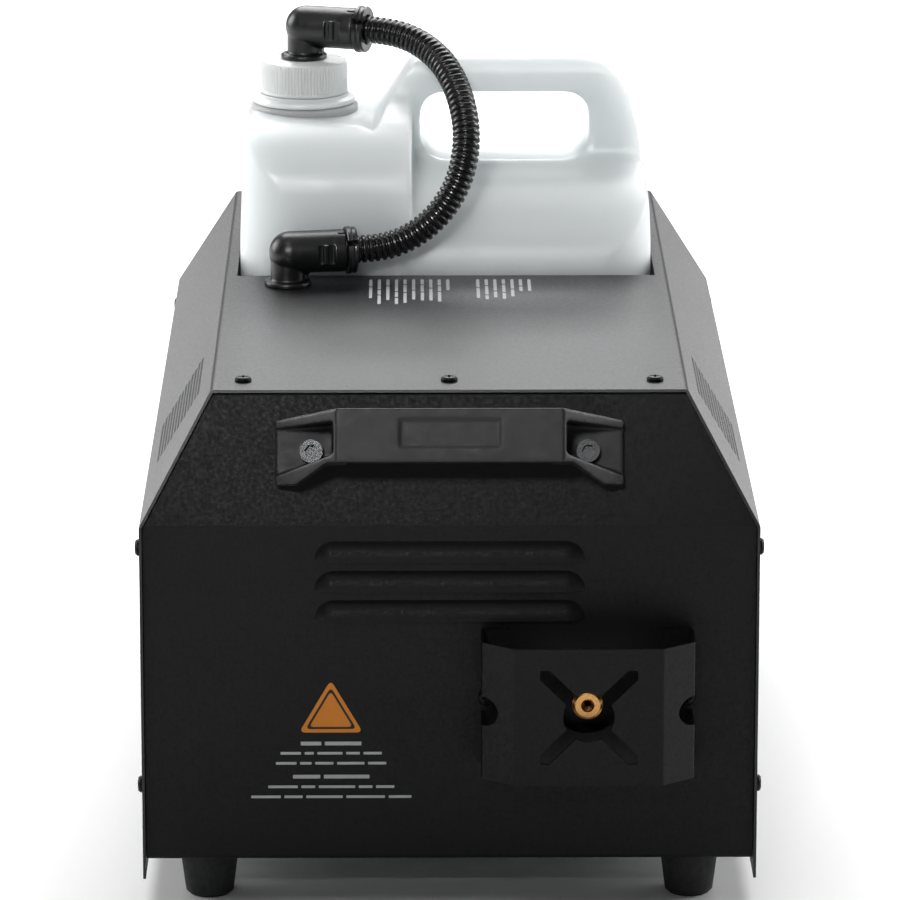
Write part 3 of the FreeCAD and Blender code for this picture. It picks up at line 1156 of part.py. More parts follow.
def hose():
    """The corrugated hose as a plain tube from the lower elbow's arm to the upper one's."""
    ends = []
    for x, y, z, turn in (("lower_x", "lower_y", "deck", "lower_turn"),
                          ("neck_x", "can_line", "cap_seat", "-upper_turn")):
        angle = math.radians(value(turn))
        way = Vector(math.cos(angle), math.sin(angle), 0)
        mouth = Vector(value(x), value(y), value(f"{z} + elbow_axis")) + way * value("elbow_length")
        ends.append([mouth, mouth + way * value("hose_lead")])
    seat = Vector(value("lower_x"), value("lower_y"), value("deck"))
    points = ends[0] + [seat + Vector(*point) for point in HOSE_LOOP] + ends[1][::-1]
    fixed("hose", bent_tube(points, value("hose"), label="hose"))


def can_fittings():
    """What hangs from the cap inside the can: the dip tube and its filter weight."""
    low = "can_base + can_wall + dip_end"
    top = "cap_seat - locknut_drop - locknut_rise - 4"
    tube = rod("dip_solid", "dip_tube", f"{top} - ({low}) - filter_length + 6",
               ("neck_x", "can_line", f"{low} + filter_length - 6"))
    inside = rod("dip_bore", "dip_tube - 2 * tube_wall", "300", ("neck_x", "can_line", low))
    name_node(minus("dip_whole", tube, inside), "dip_tube")
    weight = rod("filter_solid", "filter", "filter_length", ("neck_x", "can_line", low))
    socket = rod("filter_socket", "dip_tube", "7", ("neck_x", "can_line", f"{low} + filter_length - 6"))
    name_node(minus("filter_whole", weight, socket), "dip_filter")


# ---- controls and sockets ----------------------------------------------------------------------------

def lean_on_rear(thing, x, up, out="0"):
    """Places a piece, drawn upright with outwards along +Y, on the rear panel's sloping part."""
    return put(thing, x, f"rear_face - ({up}) * sin(rear_lean) + ({out}) * cos(rear_lean)",
               f"rear_z + ({up}) * cos(rear_lean) + ({out}) * sin(rear_lean)", axis=(1, 0, 0),
               angle="rear_lean")


def controls():
    """The display, the four keys and the control board behind the sloping panel."""
    glass = box("display_front", ("window_wide - 0.4", "display_glass", "window_high - 0.4"),
                ("-window_wide / 2 + 0.2", "-wall - 0.2 - 0.6", "-window_high / 2 + 0.2"))
    frame = box("display_frame", ("display_wide", "display_deep", "display_high"),
                ("-display_wide / 2", "-wall - display_deep - 0.2", "-display_high / 2"))
    lean_on_rear(name_node(union("display_whole", frame, glass), "display"), "display_x", "display_up")
    for index in range(BUTTONS):
        key = rod(f"key_cap_{index}", "button", "button_out + wall + 0.4", ("0", "-wall - 0.4", "0"), "y")
        rim = rod(f"key_rim_{index}", "button_flange", "1", ("0", "-wall - 0.4", "0"), "-y")
        stem = rod(f"key_stem_{index}", "button_stem", "board_gap - 0.4 - 4 - button_travel",
                   ("0", "-wall - 0.4", "0"), "-y")
        whole = union(f"key_{index}", key, rim, stem)
        lean_on_rear(name_node(whole, f"button_{index + 1}"), f"button_x + {index} * button_pitch",
                     "button_up")
    plate = box("board_plate", ("board_wide", "board", "board_high"),
                ("-board_wide / 2", "-wall - board_gap - board", "-board_high / 2"))
    posts = [rod(f"board_post_{sx}_{sz}", "5", "board_gap", (f"({sx}) * (board_wide / 2 - 4)",
                                                             "-wall - board_gap",
                 f"({sz}) * (board_high / 2 - 4)"), "y") for sx in ("1", "-1") for sz in ("1", "-1")]
    domes = [box(f"board_key_{index}", ("6", "3.6", "6"),
                 (f"button_x + {index} * button_pitch - 3", "-wall - board_gap",
                  "-3")) for index in range(BUTTONS)]
    lean_on_rear(name_node(union("board_whole", plate, *posts, *domes), "control_board"), "0", "button_up")


def sockets():
    """The mains inlet with its fuse drawer, the power switch and the two round data sockets."""
    x, z = "inlet_x", "base + inlet_rise"
    flange = box("inlet_plate", ("inlet_wide", "inlet_flange", "inlet_high"),
                 (f"{x} - inlet_wide / 2", "rear_face", f"{z} - inlet_high / 2"))
    shell = box("inlet_shell", ("inlet_body_wide", "inlet_deep", "inlet_body_high"),
                (f"{x} - inlet_body_wide / 2", "rear_face - inlet_deep", f"{z} - inlet_body_high / 2"))
    recess = box("inlet_recess", ("24", "17", "16.5"), (f"{x} - 12", "rear_face + inlet_flange - 16",
                                                        f"{z} + 2"))
    drawer_room = box("inlet_drawer", ("fuse_wide + 2 * fuse_fit", "fuse_deep + 1",
                                       "fuse_high + 2 * fuse_fit"),
                      (f"{x} - fuse_wide / 2 - fuse_fit", "rear_face + inlet_flange - fuse_deep",
                       f"{z} - 15 - fuse_fit"))
    screws = [rod(f"inlet_hole_{sign}", "small_screw + 0.2", "inlet_flange + 2",
                  (f"{x} + ({sign}) * inlet_screws / 2", "rear_face - 1", z), "y") for sign in ("1", "-1")]
    blades = [box(f"inlet_blade_{index}", ("2", "14", "4"), (f"{x} + ({dx}) - 1",
                                                             "rear_face + inlet_flange - 16", f"{z} + {dz}"))
              for index, (dx, dz) in enumerate((("-7", 8), ("7", 8), ("0", 12.5)))]
    hollow = minus("inlet_hollow", union("inlet_solid", flange, shell), recess, drawer_room, *screws)
    name_node(union("inlet_whole", hollow, *blades), "power_inlet")
    drawer = box("drawer_solid", ("fuse_wide", "fuse_deep - 1", "fuse_high"),
                 (f"{x} - fuse_wide / 2", "rear_face + inlet_flange - fuse_deep + 1", f"{z} - 15"))
    notch = box("drawer_notch", ("8", "2", "3"), (f"{x} - 4", "rear_face + inlet_flange - 1", f"{z} - 11"))
    name_node(minus("drawer_whole", drawer, notch), "fuse_drawer")

    x, z = "rocker_x", "base + rocker_rise_z"
    opening_z = "2 * (rocker_half + rocker_fit)"
    plate = box("bezel_plate", ("bezel_wide", "bezel", "bezel_high"), (f"{x} - bezel_wide / 2", "rear_face",
                                                                       f"{z} - bezel_high / 2"))
    case = box("bezel_case", ("bezel_wide - 2 * bezel", "rocker_deep + 6", "bezel_high - 2 * bezel"),
               (f"{x} - bezel_wide / 2 + bezel", "rear_face - rocker_deep - 6",
                f"{z} - bezel_high / 2 + bezel"))
    room = box("bezel_room", ("rocker_wide + 2 * rocker_fit", "rocker_deep + bezel + 1", opening_z),
               (f"{x} - rocker_wide / 2 - rocker_fit", "rear_face - rocker_deep",
                f"{z} - rocker_half - rocker_fit"))
    name_node(minus("switch_whole", union("switch_solid", plate, case), room), "power_switch")
    body = new_body("power_rocker")
    crest = "bezel + rocker_out - rocker_crest"
    profile = [("-rocker_half * 0.55", "1 - rocker_deep * 0.6"), ("rocker_half * 0.55",
               "1 - rocker_deep * 0.6"),
               ("rocker_half - 0.9", "0"), ("rocker_half - rocker_edge", crest), ("0", "bezel + 0.6"),
               ("rocker_edge - rocker_half", crest), ("0.9 - rocker_half", "0")]
    pad(body, outline(sketch(body, "YZ"), profile), "rocker_wide", both=True)
    pivot = sketch(body, "YZ")
    circle(pivot, "0", "0", "rocker_pivot")
    pad(body, pivot, "rocker_wide + rocker_fit", both=True)
    put(body, x, "rear_face", z, axis=(1, 0, 0), angle="-90 - rocker_tilt")

    for label, place in (("data_in", SOCKETS[0]), ("data_out", SOCKETS[1])):
        z = "base + socket_rise"
        plate = box(label + "_plate", ("socket_wide", "socket_flange", "socket_high"),
                    (f"{place} - socket_wide / 2", "rear_face", f"{z} - socket_high / 2"))
        barrel = rod(label + "_barrel", "socket_body", "socket_deep", (place, "rear_face", z), "-y")
        bore = rod(label + "_bore", "socket_bore", "socket_bore_deep",
                   (place, "rear_face + socket_flange", z), "-y")
        holes = [rod(f"{label}_hole_{sign}", "small_screw + 0.2", "socket_flange + 2",
                     (f"{place} - ({sign}) * socket_screw_x", "rear_face - 1",
                      f"{z} + ({sign}) * socket_screw_z"), "y")
                 for sign in ("1", "-1")]
        solid = minus(label + "_hollow", union(label + "_solid", plate, barrel), bore, *holes)
        inner = []
        spots = (("4", "0"), ("-4", "0"), ("0", "-5"))
        if label == "data_out":
            core = rod(label + "_core", "socket_bore - 3.4", "socket_bore_deep - 2",
                       (place, "rear_face", z), "-y")
            tunnels = [rod(f"{label}_tunnel_{index}", "socket_pin + 0.4", "socket_bore_deep",
                           (f"{place} + ({dx})", "rear_face + 1", f"{z} + ({dz})"), "-y")
                       for index, (dx, dz) in enumerate(spots)]
            inner.append(minus(label + "_insert", core, *tunnels))
        else:
            inner = [rod(f"{label}_pin_{index}", "socket_pin", "socket_bore_deep - 3",
                         (f"{place} + ({dx})", "rear_face - socket_bore_deep + socket_flange - 1",
                          f"{z} + ({dz})"), "y")
                     for index, (dx, dz) in enumerate(spots)]
        name_node(union(label + "_whole", solid, *inner), label)


def power_electronics():
    """The power board on its four spacers, with a transformer, a relay and two capacitors."""
    y = "front + power_y"
    level = "floor_top + spacer_rise"
    posts = []
    for index, (px, py) in enumerate(SPACERS):
        post = rod(f"spacer_{index}", "spacer", "spacer_rise", (px, py, "floor_top"))
        eye = rod(f"spacer_eye_{index}", "small_screw", "spacer_rise + 2", (px, py, "floor_top - 1"))
        posts.append(minus(f"spacer_ring_{index}", post, eye))
    name_node(group("spacers", *posts), "board_spacers")
    plate = box("power_plate", ("power_wide", "power_deep", "board"),
                ("power_x - power_wide / 2", f"{y} - power_deep / 2", level))
    holes = [rod(f"power_hole_{index}", "small_screw", "board + 2", (px, py, f"{level} - 1"))
             for index, (px, py) in enumerate(SPACERS)]
    parts = [box("transformer", ("36", "32", "30"), ("power_x - 52", f"{y} - 16", f"{level} + board")),
             box("relay", ("28", "13", "16"), ("power_x", f"{y} + 8", f"{level} + board")),
             box("relay_second", ("28", "13", "16"), ("power_x", f"{y} - 14", f"{level} + board")),
             rod("capacitor", "14", "25", ("power_x + 44", f"{y} + 12", f"{level} + board")),
             rod("capacitor_second", "10", "18", ("power_x + 44", f"{y} - 10", f"{level} + board"))]
    name_node(union("power_whole", minus("power_drilled", plate, *holes), *parts), "power_board")


# ---- the whole machine -------------------------------------------------------------------------------

def build():
    top_cover()
    vent("vent_left", -1)
    vent("vent_right", 1)
    front_panel()
    rear_panel()
    base_plate()
    for label, (side, y) in FEET.items():
        foot(label, side, y)
    can_well()
    fasteners()
    handle()
    handle_fixings()
    nozzle_guard()
    nozzle()
    heater()
    pump()
    pipes()
    can()
    cap()
    can_fittings()
    elbow("lower", "lower_x", "lower_y", "deck", "lower_turn")
    elbow("upper", "neck_x", "can_line", "cap_seat", "-upper_turn")
    hose()
    controls()
    sockets()
    power_electronics()


def check():
    """Stops if any object failed or any node's shape is missing or not valid."""
    for thing in doc.Objects:
        if "Invalid" in thing.State or "Error" in thing.State:
            raise ValueError(f"{thing.Label} failed: {thing.State}")
    for label, thing in nodes.items():
        shape = thing.Shape
        if shape.isNull() or not shape.isValid() or not shape.Solids:
            raise ValueError(f"{label}: no valid solid")


build()
doc.recompute()
check()
os.makedirs("parts", exist_ok=True)
for label, thing in nodes.items():
    thing.Shape.exportStep(f"parts/{label}.step")
print(f"{len(nodes)} nodes")
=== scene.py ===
"""The looks of a fog machine: a black steel housing, its fluid can, hose, elbows, grip and finishes."""

import math

import bmesh
import bpy
import numpy as np
from bpy.props import FloatProperty, FloatVectorProperty, IntProperty, PointerProperty, StringProperty
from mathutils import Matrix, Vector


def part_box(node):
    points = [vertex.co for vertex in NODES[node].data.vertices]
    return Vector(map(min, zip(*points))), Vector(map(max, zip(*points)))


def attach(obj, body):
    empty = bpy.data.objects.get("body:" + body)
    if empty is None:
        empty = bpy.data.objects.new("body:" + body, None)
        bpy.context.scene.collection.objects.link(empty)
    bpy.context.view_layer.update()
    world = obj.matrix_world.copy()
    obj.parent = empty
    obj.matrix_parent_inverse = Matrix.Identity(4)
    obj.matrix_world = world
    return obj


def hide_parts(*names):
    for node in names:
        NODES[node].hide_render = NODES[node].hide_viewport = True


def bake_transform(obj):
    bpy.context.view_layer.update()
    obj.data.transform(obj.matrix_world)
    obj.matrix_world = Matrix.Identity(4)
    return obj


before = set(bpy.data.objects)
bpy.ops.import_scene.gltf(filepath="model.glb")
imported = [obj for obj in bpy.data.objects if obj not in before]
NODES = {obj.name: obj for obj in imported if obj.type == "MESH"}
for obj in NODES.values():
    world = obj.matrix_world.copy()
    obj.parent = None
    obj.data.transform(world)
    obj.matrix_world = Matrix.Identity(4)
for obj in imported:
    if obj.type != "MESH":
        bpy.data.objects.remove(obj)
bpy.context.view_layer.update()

bl_info = {
    "name": "Fog machine",
    "version": (1, 0, 0),
    "blender": (4, 5, 0),
    "location": "View3D > Sidebar > Fog machine",
    "description": "Builds the visible pieces and finishes of a fog machine around its fixed frame",
    "category": "Add Mesh",
}

MM = 0.001
DECK_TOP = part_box("top_cover")[1].z
NOZZLE_REACH = 14.9 * MM
PANEL_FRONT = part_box("nozzle")[0].y + NOZZLE_REACH


def axis_of(node):
    """The X and Y of the upright axis that a round or six-sided part stands on."""
    low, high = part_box(node)
    return (low.x + high.x) / 2, (low.y + high.y) / 2


LOWER_SEAT = np.array([*axis_of("lower_locknut"), DECK_TOP])
CAP_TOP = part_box("cap")[1].z
UPPER_SEAT = np.array([*axis_of("cap"), CAP_TOP])
CAN_MIDDLE = (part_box("can")[0].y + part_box("can")[1].y) / 2

# Elbows: the height of the arm's axis above the seat, the arm's length, and its turn about the seat.
ELBOW_AXIS = 15.5 * MM
ELBOW_LENGTH = 27.0 * MM
LOWER_TURN = math.radians(10.0)
UPPER_TURN = math.radians(-18.0)

# The hose: the straight lead at each end, and its free points from the lower elbow's seat.
HOSE_LEAD = 16.0 * MM
HOSE_LOOP = np.array([
    (56.5, 8.5, 20.0), (68.5, 11.0, 28.5), (77.5, 14.5, 40.0), (82.5, 19.0, 53.0), (84.0, 25.5, 66.5),
    (82.0, 33.5, 79.0), (77.5, 44.0, 89.5), (71.0, 56.0, 97.0), (61.0, 66.5, 103.0)]) * MM


# ---- settings ----------------------------------------------------------------------------------------

class FogStageSettings(bpy.types.PropertyGroup):
    lens: FloatProperty(
        name="Lens", description="Focal length of the camera", default=240.0, min=20.0, unit="CAMERA")
    pitch: FloatProperty(
        name="Pitch", description="How far the camera looks down", default=math.radians(14.547),
        subtype="ANGLE")
    yaw: FloatProperty(
        name="Yaw", description="How far the camera looks towards +X", default=math.radians(0.417),
        subtype="ANGLE")
    place: FloatVectorProperty(
        name="Place", description="Where the camera stands", default=(-0.018147, -2.738839, 0.860712),
        subtype="TRANSLATION", unit="LENGTH")


class FogHousingSettings(bpy.types.PropertyGroup):
    cover_colour: StringProperty(
        name="Cover", description="Colour of the folded cover, as sRGB hex", default="141517")
    panel_colour: StringProperty(
        name="Panels", description="Colour of the end panels and guard, as sRGB hex", default="0D0E0F")
    grain: FloatProperty(
        name="Powder grain", description="Size of the bumps in the powder coat, in millimetres",
        default=0.55, min=0.1)


class FogCanSettings(bpy.types.PropertyGroup):
    colour: StringProperty(
        name="Can", description="Colour of the blown polyethylene, as sRGB hex", default="D8DCDC")
    voxel: FloatProperty(
        name="Voxel", description="Size of the can's mesh cells", default=1.5 * MM, min=0.001, unit="LENGTH")
    softness: IntProperty(
        name="Softness", description="How many times the can's edges are relaxed", default=7, min=0)
    ribs: IntProperty(
        name="Cap ribs", description="Ribs around the screw cap", default=84, min=12)


class FogHoseSettings(bpy.types.PropertyGroup):
    across: FloatProperty(
        name="Across", description="Outer diameter of the hose", default=13.0 * MM, unit="LENGTH")
    pitch: FloatProperty(
        name="Pitch", description="Distance from one corrugation to the next", default=3.0 * MM,
        unit="LENGTH")
    depth: FloatProperty(
        name="Depth", description="Depth of the grooves between corrugations", default=1.1 * MM,
        unit="LENGTH")


# ---- colours, nodes and materials --------------------------------------------------------------------

def linear(code):
    """An sRGB hex colour as linear red, green, blue and alpha."""
    srgb = np.array([int(code[i:i + 2], 16) for i in (0, 2, 4)]) / 255
    low, high = srgb / 12.92, ((srgb + 0.055) / 1.055) ** 2.4
    return (*np.where(srgb <= 0.04045, low, high).tolist(), 1.0)


def add(tree, kind, inputs=None, **settings):
    """Adds a node, sets its properties, and fills or links its inputs."""
    made = tree.nodes.new(kind)
    for name, value in settings.items():
        setattr(made, name, value)
    for name, value in (inputs or {}).items():
        socket = made.inputs[name]
        if isinstance(value, bpy.types.NodeSocket):
            tree.links.new(value, socket)
        else:
            socket.default_value = value
    return made


def material(name, code, roughness, **constants):
    """A new material with one Principled shader.

    Gives the material, its tree, its shader and the Object coordinates.
    """
    made = bpy.data.materials.new(name)
    made.use_nodes = True
    tree = made.node_tree
    tree.nodes.clear()
    shader = add(tree, "ShaderNodeBsdfPrincipled", {"Base Color": linear(code), "Roughness": roughness,
                                                    **constants})
    add(tree, "ShaderNodeOutputMaterial", {"Surface": shader.outputs["BSDF"]})
    where = add(tree, "ShaderNodeTexCoord").outputs["Object"]
    return made, tree, shader, where


def noise(tree, where, size_mm, detail=3.0, roughness=0.5):
    """A noise whose blotches are about size_mm across."""
    return add(tree, "ShaderNodeTexNoise", {"Vector": where, "Scale": 1000.0 / size_mm, "Detail": detail,
                                            "Roughness": roughness}).outputs["Fac"]


def vary(tree, shader, factor, low, high, socket="Base Color"):
    """Lets a factor move a colour or a number of the shader between two values."""
    if socket == "Base Color":
        mixed = add(tree, "ShaderNodeMix", data_type="RGBA")
        tree.links.new(factor, mixed.inputs[0])
        mixed.inputs[6].default_value = linear(low)
        mixed.inputs[7].default_value = linear(high)
        tree.links.new(mixed.outputs[2], shader.inputs[socket])
        return
    ranged = add(tree, "ShaderNodeMapRange", {"Value": factor, "From Min": 0.3, "From Max": 0.7,
                                              "To Min": low, "To Max": high})
    tree.links.new(ranged.outputs["Result"], shader.inputs[socket])


def bump(tree, shader, height, depth_mm, strength=1.0):
    """Presses a height pattern into the surface, its full step being depth_mm."""
    made = add(tree, "ShaderNodeBump", {"Height": height, "Distance": depth_mm * MM, "Strength": strength})
    tree.links.new(made.outputs["Normal"], shader.inputs["Normal"])


def satin_powder_coat(name, low, high, grain):
    """Polyester powder coat on steel, baked: an even satin with a soft orange peel, slightly cloudy."""
    made, tree, shader, where = material(name, low, 0.4, IOR=1.5)
    vary(tree, shader, noise(tree, where, 60.0), low, high)
    vary(tree, shader, noise(tree, where, grain * 2, 2.0), 0.34, 0.46, "Roughness")
    bump(tree, shader, noise(tree, where, grain, 2.0), 0.03)
    return made


def textured_powder_coat(name, low, high, grain):
    """Fine-textured epoxy powder coat: a black, sandy surface whose pits swallow most of its sheen.

    The specular level is below the typical value, and was set to match.
    """
    made, tree, shader, where = material(name, low, 0.5, IOR=1.5, **{"Specular IOR Level": 0.2})
    vary(tree, shader, noise(tree, where, 40.0), low, high)
    vary(tree, shader, noise(tree, where, grain * 3, 2.0), 0.38, 0.62, "Roughness")
    bump(tree, shader, noise(tree, where, grain, 2.0, 0.6), 0.04)
    return made


def moulded_nylon(name, low, high, roughness):
    """Injection-moulded black nylon: a fine spark-eroded grain with a dull sheen."""
    made, tree, shader, where = material(name, low, roughness, IOR=1.53)
    vary(tree, shader, noise(tree, where, 12.0), low, high)
    vary(tree, shader, noise(tree, where, 4.0), roughness - 0.05, roughness + 0.06, "Roughness")
    bump(tree, shader, noise(tree, where, 0.5, 2.0), 0.025)
    return made


# How far red, green and blue light travel in polyethylene, compared with each other.
MILKY = (1.0, 1.0, 1.02)
SEAM_WIDTH = 0.9 * MM


def blown_polyethylene(name, code, middle):
    """Natural blow-moulded polyethylene: milky and waxy, lit from within, with a parting line."""
    made, tree, shader, where = material(name, code, 0.34, IOR=1.54, **{
        "Subsurface Weight": 1.0, "Subsurface Scale": 0.03, "Subsurface Radius": MILKY})
    vary(tree, shader, noise(tree, where, 70.0), code, "D0D5D6")
    vary(tree, shader, noise(tree, where, 18.0), 0.30, 0.42, "Roughness")
    spread = add(tree, "ShaderNodeSeparateXYZ", {"Vector": where}).outputs["Y"]
    off = add(tree, "ShaderNodeMath", {0: spread, 1: middle}, operation="SUBTRACT").outputs[0]
    away = add(tree, "ShaderNodeMath", {0: off}, operation="ABSOLUTE").outputs[0]
    seam = add(tree, "ShaderNodeMapRange", {"Value": away, "From Min": 0.0, "From Max": SEAM_WIDTH,
                                            "To Min": 1.0, "To Max": 0.0}).outputs["Result"]
    waves = noise(tree, where, 22.0, 1.0)
    mixed = add(tree, "ShaderNodeMath", {0: waves, 1: 0.6, 2: seam}, operation="MULTIPLY_ADD").outputs[0]
    bump(tree, shader, mixed, 0.35)
    return made


def moulded_polyethylene(name, code):
    """Injection-moulded polyethylene of the cap: whiter and a little glossier than the blown can."""
    made, tree, shader, where = material(name, code, 0.3, IOR=1.54, **{
        "Subsurface Weight": 0.6, "Subsurface Scale": 0.006, "Subsurface Radius": MILKY})
    vary(tree, shader, noise(tree, where, 9.0), 0.26, 0.36, "Roughness")
    bump(tree, shader, noise(tree, where, 2.0, 2.0), 0.02)
    return made


def flexible_conduit(name, low, high):
    """Corrugated polyamide conduit: smooth, deep black and rather glossy on its crests."""
    made, tree, shader, where = material(name, low, 0.26, IOR=1.53)
    vary(tree, shader, noise(tree, where, 6.0), low, high)
    vary(tree, shader, noise(tree, where, 2.5), 0.2, 0.34, "Roughness")
    bump(tree, shader, noise(tree, where, 0.8, 2.0), 0.01)
    return made


def metal(name, low, high, roughness, grain_mm, stretch=(1.0, 1.0, 1.0)):
    """A bare metal with the fine marks of its rolling, turning or plating, drawn out along one axis where
    stretch is uneven."""
    made, tree, shader, where = material(name, low, roughness, Metallic=1.0)
    lined = add(tree, "ShaderNodeMapping", {"Vector": where, "Scale": stretch}).outputs["Vector"]
    marks = noise(tree, lined, grain_mm, 3.0)
    vary(tree, shader, noise(tree, where, 15.0), low, high)
    vary(tree, shader, marks, roughness - 0.06, roughness + 0.08, "Roughness")
    bump(tree, shader, marks, 0.012)
    return made


def rubber(name, low, high):
    """Moulded rubber: dark grey, matt, with a dusty bloom in patches."""
    made, tree, shader, where = material(name, low, 0.75, IOR=1.52)
    vary(tree, shader, noise(tree, where, 7.0, 4.0), low, high)
    vary(tree, shader, noise(tree, where, 3.0), 0.68, 0.85, "Roughness")
    bump(tree, shader, noise(tree, where, 0.6, 2.0), 0.05)
    return made


def printed_ink(name, code):
    """Screen-printed ink: thin and flat, a little chalky, with tiny breaks over the grain."""
    made, tree, shader, where = material(name, code, 0.6, IOR=1.5)
    vary(tree, shader, noise(tree, where, 3.0), 0.55, 0.68, "Roughness")
    bump(tree, shader, noise(tree, where, 0.5, 2.0), 0.02)
    return made


def smoked_window(name, code):
    """Smoked acrylic over a display: nearly black and glossy."""
    made, tree, shader, where = material(name, code, 0.08, IOR=1.49, **{"Coat Weight": 0.5})
    vary(tree, shader, noise(tree, where, 30.0), 0.06, 0.12, "Roughness")
    return made


def fibre_blanket(name, low, high):
    """Ceramic-fibre blanket: off-white and fluffy, without any gloss."""
    made, tree, shader, where = material(name, low, 0.95)
    vary(tree, shader, noise(tree, where, 5.0, 6.0), low, high)
    bump(tree, shader, noise(tree, where, 1.5, 5.0, 0.7), 0.6)
    return made


def circuit_laminate(name, low, high):
    """Green solder mask over glass laminate: tracks show as slightly raised, lighter bands."""
    made, tree, shader, where = material(name, low, 0.35, IOR=1.5)
    tracks = add(tree, "ShaderNodeTexVoronoi", {"Vector": where, "Scale": 220.0},
                 feature="DISTANCE_TO_EDGE").outputs["Distance"]
    band = add(tree, "ShaderNodeMapRange", {"Value": tracks, "From Min": 0.05, "From Max": 0.09}
               ).outputs["Result"]
    vary(tree, shader, band, low, high)
    bump(tree, shader, band, 0.035)
    return made


def clear_tubing(name, code):
    """Clear polyurethane tubing: almost colourless, glossy, seen through."""
    made, tree, shader, where = material(name, code, 0.12, IOR=1.5, **{"Transmission Weight": 0.85})
    vary(tree, shader, noise(tree, where, 6.0), 0.1, 0.18, "Roughness")
    return made


def pale_floor(name, code):
    """Matt painted studio floor, nearly white."""
    made, tree, shader, where = material(name, code, 0.85)
    vary(tree, shader, noise(tree, where, 900.0), 0.8, 0.9, "Roughness")
    return made


# ---- meshes ------------------------------------------------------------------------------------------

def new_object(name, mesh, finish=None, smooth=True):
    """Links a mesh to the scene as an object at the origin, with its material and shading."""
    thing = bpy.data.objects.new(name, mesh)
    bpy.context.scene.collection.objects.link(thing)
    if finish is not None:
        mesh.materials.clear()
        mesh.materials.append(finish)
    mesh.polygons.foreach_set("use_smooth", np.full(len(mesh.polygons), smooth))
    return thing


def outward(mesh):
    """Merges doubles and turns every face of a closed mesh outwards."""
    work = bmesh.new()
    work.from_mesh(mesh)
    bmesh.ops.remove_doubles(work, verts=work.verts, dist=1e-7)
    bmesh.ops.recalc_face_normals(work, faces=work.faces)
    work.to_mesh(mesh)
    work.free()
    return mesh


def points_of(mesh):
    """The places of a mesh's points, one to a row."""
    flat = np.zeros(len(mesh.vertices) * 3)
    mesh.vertices.foreach_get("co", flat)
    return flat.reshape(-1, 3)


def put_points(mesh, places):
    """Moves a mesh's points to new places."""
    mesh.vertices.foreach_set("co", places.ravel())
    mesh.update()
    return mesh


def surface(name, grid, looped=False):
    """A closed mesh from rows of points: each row is a ring, and each end is fanned to its own centre.

    A looped grid has no ends: its last row joins its first.
    """
    rows, around, _ = grid.shape
    ring = np.arange(rows * around).reshape(rows, around)
    if looped:
        quads = np.stack([ring, np.roll(ring, -1, axis=1), np.roll(ring, (-1, -1), axis=(0, 1)),
                          np.roll(ring, -1, axis=0)], axis=-1).reshape(-1, 4)
        mesh = bpy.data.meshes.new(name)
        mesh.from_pydata(grid.reshape(-1, 3).tolist(), [], quads.tolist())
        return outward(mesh)
    here, after = ring[:-1], np.roll(ring, -1, axis=1)[:-1]
    up, beyond = ring[1:], np.roll(ring, -1, axis=1)[1:]
    quads = np.stack([here, after, beyond, up], axis=-1).reshape(-1, 4)
    first, last = rows * around, rows * around + 1
    poles = np.stack([grid[0].mean(0), grid[-1].mean(0)])
    fan_start = np.stack([np.full(around, first), np.roll(ring[0], -1), ring[0]], axis=-1)
    fan_end = np.stack([np.full(around, last), ring[-1], np.roll(ring[-1], -1)], axis=-1)
    mesh = bpy.data.meshes.new(name)
    faces = quads.tolist() + fan_start.tolist() + fan_end.tolist()
    mesh.from_pydata(np.vstack([grid.reshape(-1, 3), poles]).tolist(), [], faces)
    return outward(mesh)


def lathe(name, profile, origin, around=96, ripple=None, looped=False):
    """A turned shape: each (radius, height) pair in millimetres becomes a ring about an upright axis.

    ripple(angle, row) adds to the radius, in millimetres. A looped profile is a hollow ring's section.
    """
    profile = np.asarray(profile, float)
    angle = np.linspace(0, 2 * math.pi, around, endpoint=False)
    radius = np.repeat(profile[:, :1], around, axis=1)
    if ripple is not None:
        radius = radius + ripple(angle[None, :], np.arange(len(profile))[:, None])
    height = np.repeat(profile[:, 1:], around, axis=1)
    grid = np.stack([radius * np.cos(angle), radius * np.sin(angle), height], axis=-1) * MM
    return surface(name, grid + np.asarray(origin), looped)


def rounded(points, reach, steps=8):
    """A closed outline whose corners are parabolic arcs: each starts and ends reach away from its corner."""
    corner = np.asarray(points, float)
    reach = np.broadcast_to(np.asarray(reach, float), len(corner))[:, None]
    to_last, to_next = np.roll(corner, 1, axis=0) - corner, np.roll(corner, -1, axis=0) - corner
    long_last = np.linalg.norm(to_last, axis=1, keepdims=True)
    long_next = np.linalg.norm(to_next, axis=1, keepdims=True)
    start = corner + to_last / long_last * np.minimum(reach, 0.49 * long_last)
    end = corner + to_next / long_next * np.minimum(reach, 0.49 * long_next)
    t = np.linspace(0, 1, steps)[None, :, None]
    arc = (1 - t) ** 2 * start[:, None] + 2 * t * (1 - t) * corner[:, None] + t ** 2 * end[:, None]
    return arc.reshape(-1, 2)


def prism(name, outline, low, high, across="Y"):
    """An outline in millimetres carried between two places along X, Y or Z."""
    slabs = np.repeat(np.asarray(outline, float)[None], 2, axis=0)
    depth = np.repeat(np.array([low, high])[:, None], slabs.shape[1], axis=1)
    first, second = slabs[..., 0], slabs[..., 1]
    order = {"X": (depth, first, second), "Y": (first, depth, second), "Z": (first, second, depth)}
    return surface(name, np.stack(order[across], axis=-1) * MM)


def helper(mesh):
    """A scratch object for a boolean or a join."""
    thing = bpy.data.objects.new("helper", mesh)
    bpy.context.scene.collection.objects.link(thing)
    return thing


def settle(thing):
    """Makes an object's modified mesh its own, and clears its modifiers."""
    bpy.context.view_layer.update()
    shaped = thing.evaluated_get(bpy.context.evaluated_depsgraph_get())
    mesh = bpy.data.meshes.new_from_object(shaped)
    thing.modifiers.clear()
    thing.data = mesh
    return thing


